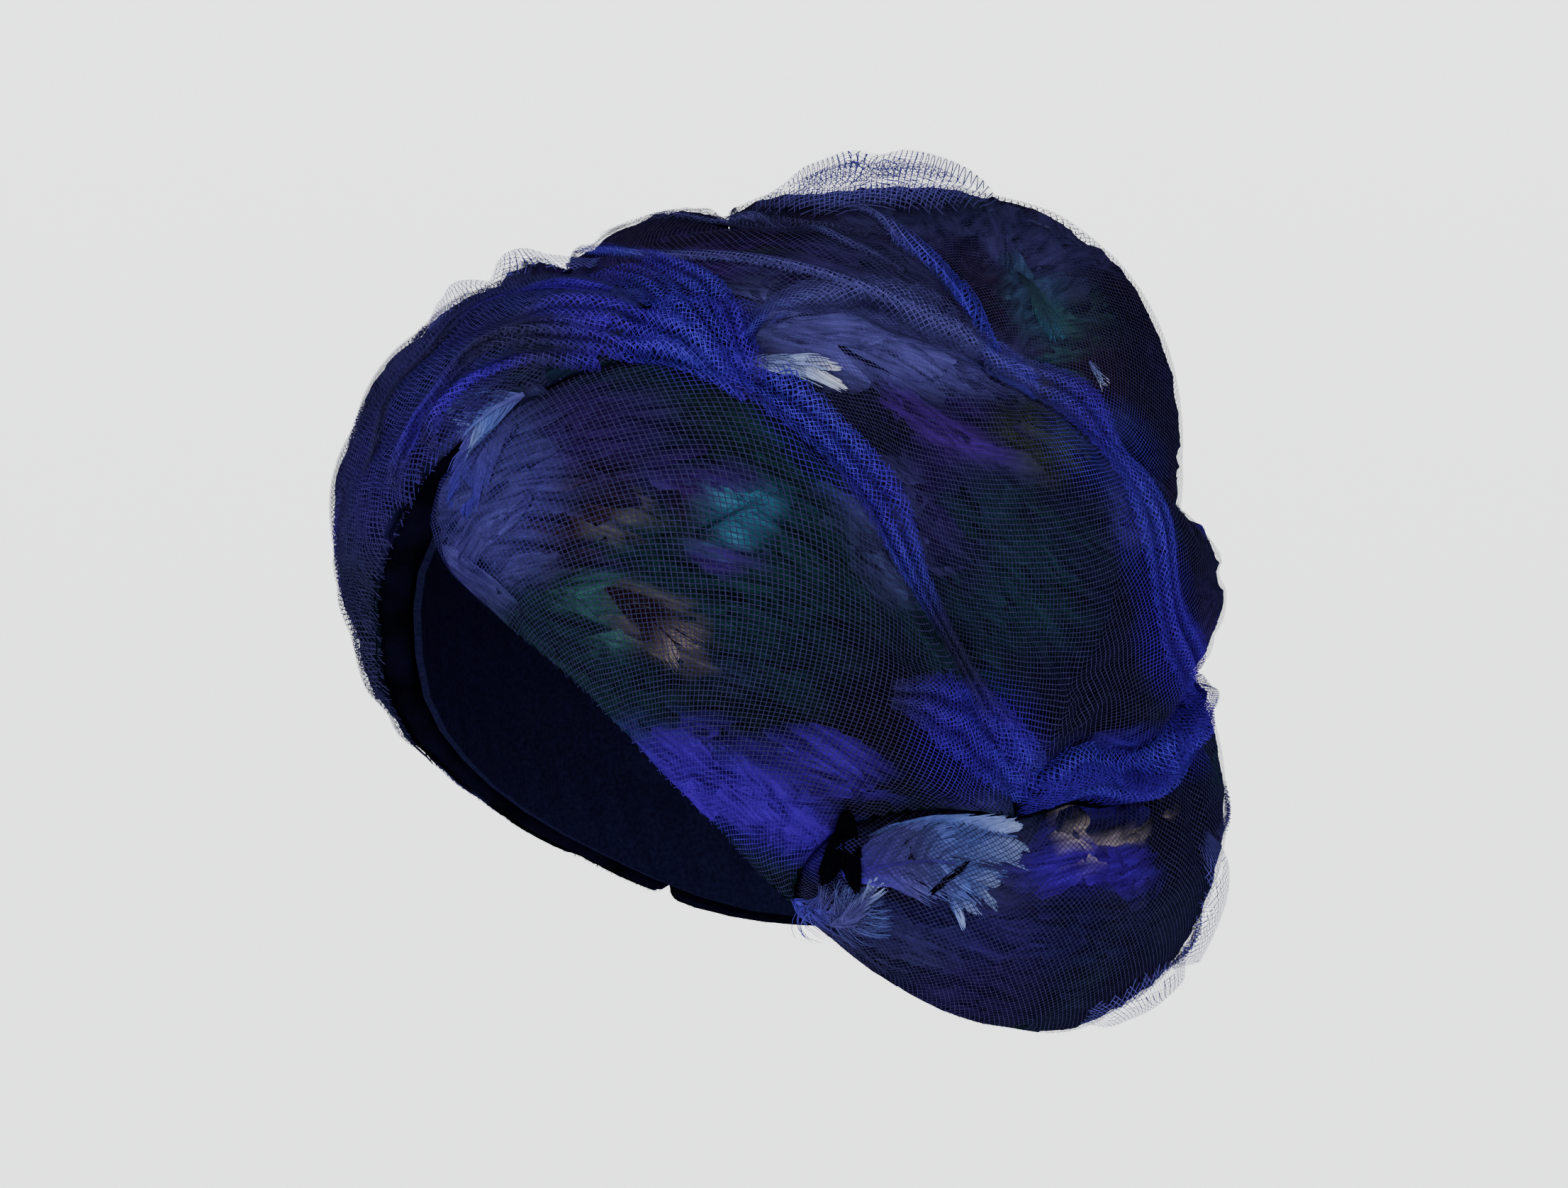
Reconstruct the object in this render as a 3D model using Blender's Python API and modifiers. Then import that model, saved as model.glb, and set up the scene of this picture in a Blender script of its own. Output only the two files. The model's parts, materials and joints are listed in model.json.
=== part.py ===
# A turban-style feather hat: padded folds laid round a stiff foundation cap.
# +Z is up, the wearer looks along -Y, and the wearer's left is +X.
# The origin is on the head's own axis, level with the brow.
# Sizes in the tables are in millimetres, and angles are in degrees.

import math

import bmesh
import bpy
from mathutils import Vector

MM = 0.001

CAP_WALL = 2.0
CAP_ABOVE_RIM = 1.2
CAP_STEPS_ROUND = 40
CAP_STEPS_UP = 9
CAP_TO_FOLD = 1.0
SEAM_GAP = 0.9
PUFF_FULLNESS = 0.75
ANGLE_STEP = 0.4
SEAM_SAMPLES = 12
LAY_GAP = 0.5

# The bubble of net on the crown: its middle and half sizes, as shares along and across the dome.
PUFF_AT = (0.47, 0.18)
PUFF_HALF = (0.13, 0.16)
PUFF_HEIGHT = 9.0
PUFF_RINGS = 5
PUFF_CORNERS = 18
NET_WALL = 1.0

# The fan of feathers in front of the ear: its root on the pouf, as shares along and across it,
# the pouf's size there, and how far its blades reach, turn and stand up.
FAN_AT = (0.030, 0.87)
FAN_SPAN = (330, 62)
FAN_LENGTH = 46
FAN_ROOT = 6
FAN_TURN = (-27, 4)
FAN_BLADES = 5
FAN_NOTCH = 0.22
FAN_CROWN = 0.8
FAN_STATIONS = 21
FAN_POINTS = 5
FEATHER_WALL = 1.0

# The ribbon loop at the centre back.
LOOP_RISE = 0.5
LOOP_HALF_HEIGHT = 8.5
LOOP_HALF_DEPTH = 2.6
LOOP_HALF_ANGLE = 5.0
LOOP_STAND = 19.0
LOOP_SQUARENESS = 0.6
LOOP_CORNERS = 20
RIBBON_WALL = 1.2

# The head block, a row for each level section.
# rise is an angle that runs from the nape, below zero, to the crown at 90.
# Columns: rise, height, half_width, half_length, centre_y
HEAD_BLOCK = (
    (-62, -116, 66, 80, 12),
    (-40, -76, 76, 94, 5),
    (-20, -38, 79, 98, 1),
    (0, 0, 80, 99, 0),
    (20, 34, 79, 96, 0),
    (40, 63, 71, 84, 4),
    (60, 81, 52, 61, 13),
    (75, 89, 28, 33, 21),
    (90, 92, 0, 0, 26),
)

# Seams between the folds, drawn on the head block.
# around is 0 at the brow, 90 at the left ear, 180 at the nape and 270 at the right ear.
# Columns: around, rise
SEAMS = {
    "left_rim": ((6, 19), (11, 11), (22, 4.5), (38, -5.5), (55, -21), (67, -33)),
    "nape_rim": ((67, -33), (79, -43), (90, -49), (105, -53.5), (130, -55), (155, -54.5),
                 (180, -54), (205, -54.5), (230, -55), (255, -53.5), (272, -48)),
    "right_rim": ((272, -48), (284, -42), (297, -35), (310, -27), (322, -19), (332, -11),
                  (340, -1), (354, 10), (360, 15), (366, 19)),
    "brow": ((6, 19), (11, 25), (17, 30), (24, 35), (31, 39), (38, 41)),
    "knot_foot": ((38, 41), (47, 41), (57, 39)),
    "knot_head": ((36, 52), (47, 52), (58, 51)),
    "knot_front": ((38, 41), (36, 52)),
    "knot_back": ((57, 39), (58, 51)),
    "sweep_front": ((57, 39), (64, 36), (70, 31), (77, 24), (82, 15), (87, 6), (92, -3),
                    (97, -12), (100, -19)),
    "sweep_top": ((58, 51), (66, 50), (73, 50), (81, 47), (90, 43), (98, 39)),
    "sweep_rear": ((98, 39), (106, 35), (115, 30), (126, 25), (138, 18), (155, 12), (172, 10)),
    "back_joint": ((172, -9), (172, 10)),
    "ear_front": ((67, -33), (67.3, -29.5), (69, -26)),
    "ear_top": ((69, -26), (72, -23), (76.5, -21), (83, -20), (91, -20.5), (100, -23)),
    "pinch": ((100, -23), (100, -19)),
    "ruffle_foot": ((100, -23), (105, -22.5), (111, -22), (118, -23.5), (126, -23), (134, -20),
                    (145, -16.5), (162, -12.5)),
    "ruffle_head": ((100, -19), (105, -17), (111, -15.5), (118, -17), (126, -17), (134, -13),
                    (145, -10.5), (162, -9.5)),
    "ruffle_end": ((162, -12.5), (162, -9.5)),
    "back_foot": ((162, -12.5), (168, -9.3), (172, -9), (187, -8.3), (196, -8), (202, -11)),
    "back_head": ((162, -9.5), (172, -9)),
    "tail_foot": ((202, -11), (220, -18), (242, -29), (260, -40), (272, -48)),
    "tail_end": ((202, -11), (202, -7.5)),
    "fold_top": ((36, 52), (24, 54), (12, 55), (2, 55)),
    "fold_tip": ((2, 55), (-5, 54.7), (-11, 54.2)),
    "fold_side": ((-11, 54.2), (-20, 52.5), (-35, 48), (-52, 42), (-70, 33), (-90, 22),
                  (-110, 10), (-130, 0), (-147, -6), (-158, -7.5)),
    "band_foot": ((-158, -7.5), (-173, -8.3), (-188, -9)),
    "band_tip": ((-11, 54.2), (-11.5, 56.4)),
    "band_start": ((-11.5, 56.4), (-18, 57.3), (-24, 58)),
    "band_over": ((2, 55), (-5, 55.9), (-11.5, 57), (-18, 57.8), (-24, 58)),
    "band_top": ((-24, 58), (-45, 56), (-68, 51), (-90, 44), (-104, 38)),
    "band_rear": ((-104, 38), (-118, 31), (-135, 23), (-155, 15), (-173, 11), (-188, 10)),
    "crown": ((98, 39), (97, 47), (94, 54), (88, 62), (75, 69), (40, 75), (-20, 76),
              (-70, 71), (-92, 61), (-100, 50), (-104, 38)),
}

# The seams on the four sides of each fold, with "~" for a seam run backwards.
# Lower and upper run along it, and start and end run from lower to upper.
# Columns: fold, lower, upper, start, end
SIDES = (
    ("front_fold", "~brow ~right_rim ~tail_foot", "fold_top fold_tip fold_side",
     "knot_front", "tail_end"),
    ("left_side_panel", "left_rim", "brow knot_foot sweep_front", "", "ear_front ear_top pinch"),
    ("back_sweep_band", "sweep_front ruffle_head back_head", "sweep_top sweep_rear",
     "knot_back", "back_joint"),
    ("upper_band", "~sweep_top ~knot_head fold_top band_over band_top", "crown", "", ""),
    ("crown_dome", "crown", "sweep_rear ~band_rear", "", ""),
    ("right_side_band", "fold_side band_foot", "band_start band_top band_rear",
     "band_tip", "back_joint"),
    ("nape_pouf", "nape_rim", "ear_top ruffle_foot back_foot tail_foot", "ear_front", ""),
    ("pouf_ruffle", "ruffle_foot", "ruffle_head", "pinch", "ruffle_end"),
    ("gathered_knot", "knot_foot", "knot_head", "knot_front", "knot_back"),
)

# How finely each fold is laid out, and how far its pointed ends stop short of the corner.
# Columns: fold, stations, outer_points, inner_points, trim
LAYOUT = {
    "front_fold": (34, 13, 7, 0),
    "left_side_panel": (20, 13, 13, 5),
    "back_sweep_band": (30, 13, 7, 0),
    "upper_band": (28, 11, 6, 4),
    "crown_dome": (28, 13, 13, 4),
    "right_side_band": (26, 9, 5, 0),
    "nape_pouf": (36, 11, 6, 5),
    "pouf_ruffle": (40, 7, 3, 0),
    "gathered_knot": (10, 13, 4, 0),
}

# Thickness of each fold, a row for each section along it.
# Columns: along, lower_edge, upper_edge, puff, peak (along and peak are shares)
SECTIONS = {
    "front_fold": ((0.00, 14, 14, 4, 0.50), (0.14, 15, 12, 6, 0.42), (0.20, 9, 10, 9, 0.34),
                   (0.38, 7, 10, 11, 0.38), (0.66, 7, 12, 10, 0.45), (1.00, 12, 12, 2, 0.50)),
    "left_side_panel": ((0.00, 5, 9, 2, 0.50), (0.25, 5, 10, 7, 0.50), (0.50, 5, 12, 10, 0.52),
                        (0.75, 5, 13, 11, 0.52), (1.00, 8, 12, 7, 0.50)),
    "back_sweep_band": ((0.00, 12, 14, 4, 0.50), (0.20, 10, 15, 6, 0.55), (0.46, 10, 15, 9, 0.50),
                        (0.75, 12, 14, 8, 0.50), (1.00, 12, 13, 5, 0.50)),
    "upper_band": ((0.00, 9, 12, 2, 0.50), (0.25, 9, 13, 4, 0.55), (0.50, 7, 10, 2, 0.60),
                   (0.75, 9, 13, 4, 0.55), (1.00, 9, 12, 2, 0.50)),
    "crown_dome": ((0.00, 9, 10, 2, 0.40), (0.25, 10, 9, 5, 0.42), (0.50, 9, 8, 8, 0.42),
                   (0.75, 10, 9, 5, 0.42), (1.00, 9, 10, 2, 0.40)),
    "right_side_band": ((0.00, 10, 10, 2, 0.50), (0.30, 10, 12, 7, 0.50), (0.70, 10, 13, 8, 0.50),
                        (1.00, 12, 13, 5, 0.50)),
    "nape_pouf": ((0.00, 6, 9, 2, 0.50), (0.10, 9, 11, 10, 0.50), (0.25, 10, 12, 11, 0.50),
                  (0.42, 5, 13, 11, 0.56), (0.60, 5, 13, 11, 0.56), (0.88, 8, 11, 10, 0.50),
                  (1.00, 6, 9, 2, 0.50)),
    "pouf_ruffle": ((0.00, 12, 12, 3, 0.50), (0.20, 14, 14, 6, 0.50), (0.80, 14, 14, 6, 0.50),
                    (1.00, 12, 12, 1, 0.50)),
    "gathered_knot": ((0.00, 13, 13, 5, 0.50), (0.50, 12, 12, 6, 0.50), (1.00, 12, 13, 5, 0.50)),
}

# Grooves pressed along a fold between its pleats.
# Columns: fold, at_start, at_end, depth, width (shares of the fold's width, depth in mm)
PLEATS = (
    ("front_fold", 0.26, 0.18, 2.8, 0.06),
    ("front_fold", 0.48, 0.44, 2.2, 0.06),
    ("front_fold", 0.70, 0.78, 2.6, 0.06),
    ("back_sweep_band", 0.35, 0.28, 1.6, 0.06),
    ("back_sweep_band", 0.70, 0.62, 1.8, 0.06),
    ("upper_band", 0.24, 0.24, 1.6, 0.08),
    ("upper_band", 0.52, 0.50, 1.5, 0.08),
    ("gathered_knot", 0.25, 0.25, 2.5, 0.06),
    ("gathered_knot", 0.50, 0.50, 2.5, 0.06),
    ("gathered_knot", 0.75, 0.75, 2.5, 0.06),
)

# Gathers that cross a fold, as waves along it.
# Columns: fold, waves, depth
GATHERS = {
    "pouf_ruffle": (9, 2.2),
}

# Colour of each piece. Columns: red, green, blue, roughness
FINISH = {
    "head_cap": (0.010, 0.012, 0.030, 0.85),
    "front_fold": (0.010, 0.018, 0.110, 0.60),
    "left_side_panel": (0.008, 0.012, 0.045, 0.55),
    "back_sweep_band": (0.012, 0.022, 0.090, 0.60),
    "upper_band": (0.008, 0.010, 0.050, 0.60),
    "crown_dome": (0.007, 0.009, 0.030, 0.55),
    "right_side_band": (0.010, 0.014, 0.060, 0.60),
    "nape_pouf": (0.010, 0.018, 0.080, 0.60),
    "pouf_ruffle": (0.015, 0.030, 0.330, 0.70),
    "gathered_knot": (0.015, 0.030, 0.380, 0.70),
    "crown_net_puff": (0.100, 0.110, 0.450, 0.80),
    "ear_feathers": (0.180, 0.260, 0.620, 0.55),
    "back_loop": (0.010, 0.015, 0.090, 0.50),
}


def clear_scene():
    for old in list(bpy.data.objects):
        bpy.data.objects.remove(old, do_unlink=True)


def smooth_row(rows, place):
    """Read a table at a place in its first column, on a smooth curve through the rows."""
    last = len(rows) - 1
    index = 0
    while index < last - 1 and place > rows[index + 1][0]:
        index += 1
    before, after = rows[index], rows[index + 1]
    step = after[0] - before[0]
    share = (place - before[0]) / step
    values = []
    for column in range(1, len(before)):
        slopes = []
        for at in (index, index + 1):
            low, high = rows[max(at - 1, 0)], rows[min(at + 1, last)]
            slopes.append((high[column] - low[column]) / (high[0] - low[0]))
        values.append((1 + 2 * share) * (1 - share) ** 2 * before[column]
                      + share * (1 - share) ** 2 * step * slopes[0]
                      + share ** 2 * (3 - 2 * share) * after[column]
                      + share ** 2 * (share - 1) * step * slopes[1])
    return values


def direction(around, rise):
    """The unit vector that stands for a place on the head block."""
    a, r = math.radians(around), math.radians(rise)
    return Vector((math.sin(a) * math.cos(r), -math.cos(a) * math.cos(r), math.sin(r)))


def angles(toward):
    toward = toward.normalized()
    return (math.degrees(math.atan2(toward.x, -toward.y)),
            math.degrees(math.asin(max(-1.0, min(1.0, toward.z)))))


def block_point(around, rise):
    """A point on the head block, in mm."""
    height, half_width, half_length, centre_y = smooth_row(HEAD_BLOCK, min(rise, 90))
    a = math.radians(around)
    return Vector((half_width * math.sin(a), centre_y - half_length * math.cos(a), height))


def block_normal(around, rise):
    if rise > 90 - 2 * ANGLE_STEP:
        return Vector((0, 0, 1))
    across = block_point(around + ANGLE_STEP, rise) - block_point(around - ANGLE_STEP, rise)
    upward = block_point(around, rise + ANGLE_STEP) - block_point(around, rise - ANGLE_STEP)
    return across.cross(upward).normalized()


def stand_off(toward, distance):
    """The point that stands a distance in mm off the head block."""
    around, rise = angles(toward)
    return (block_point(around, rise) + distance * block_normal(around, rise)) * MM


class Seam:
    """A smooth line on the head block, read by the share of its length."""

    def __init__(self, names):
        self.points = []
        for name in names.split():
            stretch = self.smoothed([direction(*row) for row in SEAMS[name.strip("~")]])
            if name.startswith("~"):
                stretch.reverse()
            self.points += stretch[1 if self.points else 0:]
        self.lengths = [0.0]
        for before, after in zip(self.points, self.points[1:]):
            step = (stand_off(after, 0) - stand_off(before, 0)).length / MM
            self.lengths.append(self.lengths[-1] + step)

    @staticmethod
    def smoothed(rows):
        points = []
        last = len(rows) - 1
        for index in range(last):
            before, start, end, after = (rows[max(index - 1, 0)], rows[index],
                                         rows[index + 1], rows[min(index + 2, last)])
            for step in range(SEAM_SAMPLES):
                t = step / SEAM_SAMPLES
                point = 0.5 * (2 * start + (end - before) * t
                               + (2 * before - 5 * start + 4 * end - after) * t ** 2
                               + (3 * start - before - 3 * end + after) * t ** 3)
                points.append(point.normalized())
        return points + [rows[-1]]

    def length(self):
        return self.lengths[-1]

    def at(self, share):
        place = max(0.0, min(1.0, share)) * self.length()
        index = 0
        while index < len(self.points) - 2 and self.lengths[index + 1] < place:
            index += 1
        step = self.lengths[index + 1] - self.lengths[index]
        return self.points[index].lerp(self.points[index + 1], (place - self.lengths[index]) / step)


class Side:
    """A seam, or the straight line that closes a fold where it has no seam there."""

    def __init__(self, names, first, last):
        self.seam = Seam(names) if names else None
        self.first, self.last = first, last

    def length(self):
        if self.seam:
            return self.seam.length()
        return (stand_off(self.last, 0) - stand_off(self.first, 0)).length / MM

    def at(self, share):
        if self.seam:
            return self.seam.at(share)
        return self.first.lerp(self.last, share)


class Patch:
    """The stretch of the head block that a fold covers, between its four sides."""

    def __init__(self, lower, upper, start, end, trim):
        self.lower, self.upper = Seam(lower), Seam(upper)
        self.low_span = self.span(self.lower, start, end, trim)
        self.high_span = self.span(self.upper, start, end, trim)
        self.start = Side(start, self.low(0), self.high(0))
        self.end = Side(end, self.low(1), self.high(1))

    @staticmethod
    def span(seam, start, end, trim):
        """The shares of a seam that a fold uses: a pointed end stops short of its corner."""
        cut = trim / seam.length()
        return (0.0 if start else cut, 1.0 if end else 1.0 - cut)

    def low(self, along):
        return self.lower.at(self.low_span[0] + along * (self.low_span[1] - self.low_span[0]))

    def high(self, along):
        return self.upper.at(self.high_span[0] + along * (self.high_span[1] - self.high_span[0]))

    def toward(self, along, across):
        """Blend the four sides into one direction."""
        corners = ((self.low(0) * (1 - along) + self.low(1) * along) * (1 - across)
                   + (self.high(0) * (1 - along) + self.high(1) * along) * across)
        sides = (self.low(along) * (1 - across) + self.high(along) * across
                 + self.start.at(across) * (1 - along) + self.end.at(across) * along)
        return (sides - corners).normalized()

    def inset(self, along, across):
        """Move a share inwards by half the gap at the seams."""
        width = (stand_off(self.high(along), 0) - stand_off(self.low(along), 0)).length / MM
        length = min(self.lower.length(), self.upper.length())
        margin = SEAM_GAP / 2
        return (margin / length + along * (1 - 2 * margin / length),
                margin / width + across * (1 - 2 * margin / width))


def thickness(fold, along, across):
    """How far the outer side of a fold stands off its inner side, in mm."""
    lower_edge, upper_edge, puff, peak = smooth_row(SECTIONS[fold], along)
    lean = across ** (math.log(0.5) / math.log(peak))
    height = lower_edge + (upper_edge - lower_edge) * across
    height += puff * max(0.0, math.sin(math.pi * lean)) ** PUFF_FULLNESS
    for pleated, at_start, at_end, depth, width in PLEATS:
        if pleated == fold:
            centre = at_start + (at_end - at_start) * along
            height -= depth * math.exp(-((across - centre) / width) ** 2)
    waves, depth = GATHERS.get(fold, (0, 0))
    return height + depth * math.sin(2 * math.pi * waves * along) * math.sin(math.pi * across)


def make_material(name):
    red, green, blue, roughness = FINISH[name]
    material = bpy.data.materials.new(name + "_finish")
    material.use_nodes = True
    shader = material.node_tree.nodes["Principled BSDF"]
    shader.inputs["Base Color"].default_value = (red, green, blue, 1)
    shader.inputs["Roughness"].default_value = roughness
    shader.inputs["Metallic"].default_value = 0.0
    return material


def add_object(name, bm, collection):
    bmesh.ops.recalc_face_normals(bm, faces=bm.faces)
    mesh = bpy.data.meshes.new(name)
    bm.to_mesh(mesh)
    bm.free()
    mesh.shade_smooth()
    mesh.set_sharp_from_angle(angle=math.radians(50))
    piece = bpy.data.objects.new(name, mesh)
    mesh.materials.append(make_material(name))
    collection.objects.link(piece)
    return piece


def add_wall(piece, width, side):
    """Give an open surface its thickness, outwards for a side of 1."""
    wall = piece.modifiers.new("wall", "SOLIDIFY")
    wall.thickness = width * MM
    wall.offset = side


def make_fold(name, patch, collection):
    stations, outer_points, inner_points, trim = LAYOUT[name]
    every = (outer_points - 1) // (inner_points - 1)
    bm = bmesh.new()
    rings = []
    for station in range(stations):
        along = station / (stations - 1)
        outer, inner = [], []
        for point in range(outer_points):
            across = point / (outer_points - 1)
            toward = patch.toward(*patch.inset(along, across))
            outer.append(bm.verts.new(stand_off(toward, CAP_TO_FOLD + thickness(name, along, across))))
            if point % every == 0:
                inner.append(bm.verts.new(stand_off(toward, CAP_TO_FOLD)))
        rings.append((outer, inner))
    for (outer, inner), (next_outer, next_inner) in zip(rings, rings[1:]):
        ring, next_ring = outer + inner[::-1], next_outer + next_inner[::-1]
        for corner in range(len(ring)):
            after = (corner + 1) % len(ring)
            bm.faces.new((ring[corner], next_ring[corner], next_ring[after], ring[after]))
    for outer, inner in (rings[0], rings[-1]):
        for panel in range(len(inner) - 1):
            rim = outer[panel * every:(panel + 1) * every + 1]
            bm.faces.new(rim + [inner[panel + 1], inner[panel]])
    return add_object(name, bm, collection)


def fold_point(name, patch, along, across, above):
    """A point above the outer side of a fold."""
    toward = patch.toward(*patch.inset(along, across))
    return stand_off(toward, CAP_TO_FOLD + thickness(name, along, across) + above)


def make_net_puff(dome, collection):
    """A bubble of net that stands on the crown dome behind the upper band."""
    bm = bmesh.new()
    rings = []
    for ring in range(1, PUFF_RINGS + 1):
        reach = ring / PUFF_RINGS
        lift = LAY_GAP + PUFF_HEIGHT * (1 - reach ** 2) ** PUFF_FULLNESS
        corners = []
        for corner in range(PUFF_CORNERS):
            turn = 2 * math.pi * corner / PUFF_CORNERS
            along = PUFF_AT[0] + PUFF_HALF[0] * reach * math.cos(turn)
            across = PUFF_AT[1] + PUFF_HALF[1] * reach * math.sin(turn)
            corners.append(bm.verts.new(fold_point("crown_dome", dome, along, across, lift)))
        rings.append(corners)
    top = bm.verts.new(fold_point("crown_dome", dome, *PUFF_AT, LAY_GAP + PUFF_HEIGHT))
    for corner in range(PUFF_CORNERS):
        after = (corner + 1) % PUFF_CORNERS
        bm.faces.new((top, rings[0][corner], rings[0][after]))
        for inner, outer in zip(rings, rings[1:]):
            bm.faces.new((inner[corner], outer[corner], outer[after], inner[after]))
    puff = add_object("crown_net_puff", bm, collection)
    add_wall(puff, NET_WALL, 1)
    return puff


def make_ear_feathers(pouf, collection):
    """A fan of flat feathers on the pouf, in front of the left ear."""
    bm = bmesh.new()
    rows = []
    for station in range(FAN_STATIONS):
        share = station / (FAN_STATIONS - 1)
        turn = math.radians(FAN_TURN[0] + (FAN_TURN[1] - FAN_TURN[0]) * share)
        lobe = abs(math.sin(math.pi * FAN_BLADES * share))
        length = FAN_LENGTH * (1 - FAN_NOTCH * (1 - lobe))
        row = []
        for point in range(FAN_POINTS):
            reach = FAN_ROOT + (length - FAN_ROOT) * point / (FAN_POINTS - 1)
            along = FAN_AT[0] + reach * math.cos(turn) / FAN_SPAN[0]
            across = FAN_AT[1] + reach * math.sin(turn) / FAN_SPAN[1]
            lift = LAY_GAP + FAN_CROWN * lobe * math.sin(math.pi * point / (FAN_POINTS - 1))
            row.append(bm.verts.new(fold_point("nape_pouf", pouf, along, across, lift)))
        rows.append(row)
    for row, after in zip(rows, rows[1:]):
        for point in range(FAN_POINTS - 1):
            bm.faces.new((row[point], after[point], after[point + 1], row[point + 1]))
    fan = add_object("ear_feathers", bm, collection)
    add_wall(fan, FEATHER_WALL, 1)
    return fan


def make_back_loop(collection):
    """A flat loop of ribbon that stands on the joint at the centre back."""
    bm = bmesh.new()
    edges = []
    for side in (-1, 1):
        edge = []
        for corner in range(LOOP_CORNERS):
            turn = 2 * math.pi * corner / LOOP_CORNERS
            upward = math.copysign(abs(math.sin(turn)) ** LOOP_SQUARENESS, math.sin(turn))
            rise = LOOP_RISE + LOOP_HALF_HEIGHT * upward
            depth = LOOP_HALF_DEPTH * (1 + math.cos(turn))
            around = SEAMS["back_joint"][0][0] + side * LOOP_HALF_ANGLE
            edge.append(bm.verts.new(stand_off(direction(around, rise), LOOP_STAND + depth)))
        edges.append(edge)
    for corner in range(LOOP_CORNERS):
        after = (corner + 1) % LOOP_CORNERS
        bm.faces.new((edges[0][corner], edges[0][after], edges[1][after], edges[1][corner]))
    loop = add_object("back_loop", bm, collection)
    add_wall(loop, RIBBON_WALL, -1)
    return loop


def make_cap(collection):
    """The foundation: a thin shell on the head block, open along the rim."""
    rim = Seam("left_rim nape_rim right_rim")
    bm = bmesh.new()
    columns = []
    for place in range(CAP_STEPS_ROUND):
        around, low = angles(rim.at(place / CAP_STEPS_ROUND))
        low += CAP_ABOVE_RIM
        column = []
        for level in range(CAP_STEPS_UP):
            rise = low + (90 - low) * level / CAP_STEPS_UP
            column.append(bm.verts.new(block_point(around, rise) * MM))
        columns.append(column)
    top = bm.verts.new(block_point(0, 90) * MM)
    for column, after in zip(columns, columns[1:] + columns[:1]):
        for level in range(CAP_STEPS_UP - 1):
            bm.faces.new((column[level], after[level], after[level + 1], column[level + 1]))
        bm.faces.new((column[-1], after[-1], top))
    cap = add_object("head_cap", bm, collection)
    add_wall(cap, CAP_WALL, -1)
    return cap


def main():
    clear_scene()
    collection = bpy.data.collections.new("feather_hat")
    bpy.context.scene.collection.children.link(collection)
    make_cap(collection)
    patches = {}
    for name, lower, upper, start, end in SIDES:
        patches[name] = Patch(lower, upper, start, end, LAYOUT[name][3])
        make_fold(name, patches[name], collection)
    make_net_puff(patches["crown_dome"], collection)
    make_ear_feathers(patches["nape_pouf"], collection)
    make_back_loop(collection)


main()
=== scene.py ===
# Looks of the feather hat: padded folds under feathers, with fine net drawn over them all.
# Metres, +Z up. The wearer looks along -Y, and the wearer's left is +X.

import json
import math

import bmesh
import bpy
import numpy as np
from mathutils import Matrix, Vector
from mathutils.bvhtree import BVHTree

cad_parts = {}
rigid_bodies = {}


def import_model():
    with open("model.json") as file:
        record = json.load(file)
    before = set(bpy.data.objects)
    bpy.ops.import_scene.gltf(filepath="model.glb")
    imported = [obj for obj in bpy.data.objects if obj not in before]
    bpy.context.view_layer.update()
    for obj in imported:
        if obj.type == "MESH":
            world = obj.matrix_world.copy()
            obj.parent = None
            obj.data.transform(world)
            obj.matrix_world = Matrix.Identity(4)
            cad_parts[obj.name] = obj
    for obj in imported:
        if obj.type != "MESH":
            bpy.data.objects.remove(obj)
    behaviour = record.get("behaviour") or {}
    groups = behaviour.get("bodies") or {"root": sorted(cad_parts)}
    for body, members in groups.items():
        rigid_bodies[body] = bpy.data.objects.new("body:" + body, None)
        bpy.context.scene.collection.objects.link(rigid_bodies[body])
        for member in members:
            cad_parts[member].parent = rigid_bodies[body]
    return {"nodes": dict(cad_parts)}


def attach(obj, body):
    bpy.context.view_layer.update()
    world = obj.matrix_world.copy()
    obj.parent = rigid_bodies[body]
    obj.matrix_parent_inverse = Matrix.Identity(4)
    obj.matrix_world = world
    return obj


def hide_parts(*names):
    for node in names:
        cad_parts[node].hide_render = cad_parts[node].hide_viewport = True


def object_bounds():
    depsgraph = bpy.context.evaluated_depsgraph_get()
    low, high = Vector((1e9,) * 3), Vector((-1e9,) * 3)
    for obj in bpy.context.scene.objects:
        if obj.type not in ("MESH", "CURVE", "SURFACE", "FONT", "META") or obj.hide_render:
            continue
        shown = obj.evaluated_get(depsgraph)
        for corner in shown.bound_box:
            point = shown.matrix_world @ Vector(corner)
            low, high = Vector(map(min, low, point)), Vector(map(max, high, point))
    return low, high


for old in list(bpy.data.objects):
    bpy.data.objects.remove(old, do_unlink=True)

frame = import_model()
cadLow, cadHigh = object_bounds()
mm = 0.001


# Camera, floor and light

# where the photo was taken from: angles in degrees, distance in metres, the rest in its pixels
photo = {
    "azimuth": 62,
    "elevation": 8.55,
    "pitch": 13.3,
    "distance": 1.428,
    "focal": 4313,
    "middle": (1140, 838.4),
}

studio = {
    "lens": 124,               # mm, so that the hat fills the frame
    "aim": (0.0, 0.002, 0.003),
    "floorBelow": 0.90,        # metres under the hat's lowest point
    "floorRadius": 3.2,
    "wallRadius": 4.4,
    "wallHeight": 3.4,
    "paper": (0.94, 0.94, 0.935),
    "glow": 0.95,
    "glowTint": (0.97, 0.98, 1.0),
    "sky": 0.5,
    "skyTint": (0.93, 0.96, 1.0),
}

# lights: place round the hat (azimuth, elevation, metres away), size in metres, watts
studioLights = {
    "window": (20, 38, 2.0, 1.6, 44),
    "fill": (118, 22, 2.2, 1.8, 20),
    "top": (60, 74, 1.8, 1.8, 9),
    "rear": (235, 30, 2.6, 2.0, 9),
}


def around(azimuth, elevation):
    a, e = math.radians(azimuth), math.radians(elevation)
    return Vector((math.sin(a) * math.cos(e), -math.cos(a) * math.cos(e), math.sin(e)))


def newObject(name, data):
    obj = bpy.data.objects.new(name, data)
    bpy.context.scene.collection.objects.link(obj)
    return obj


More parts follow.
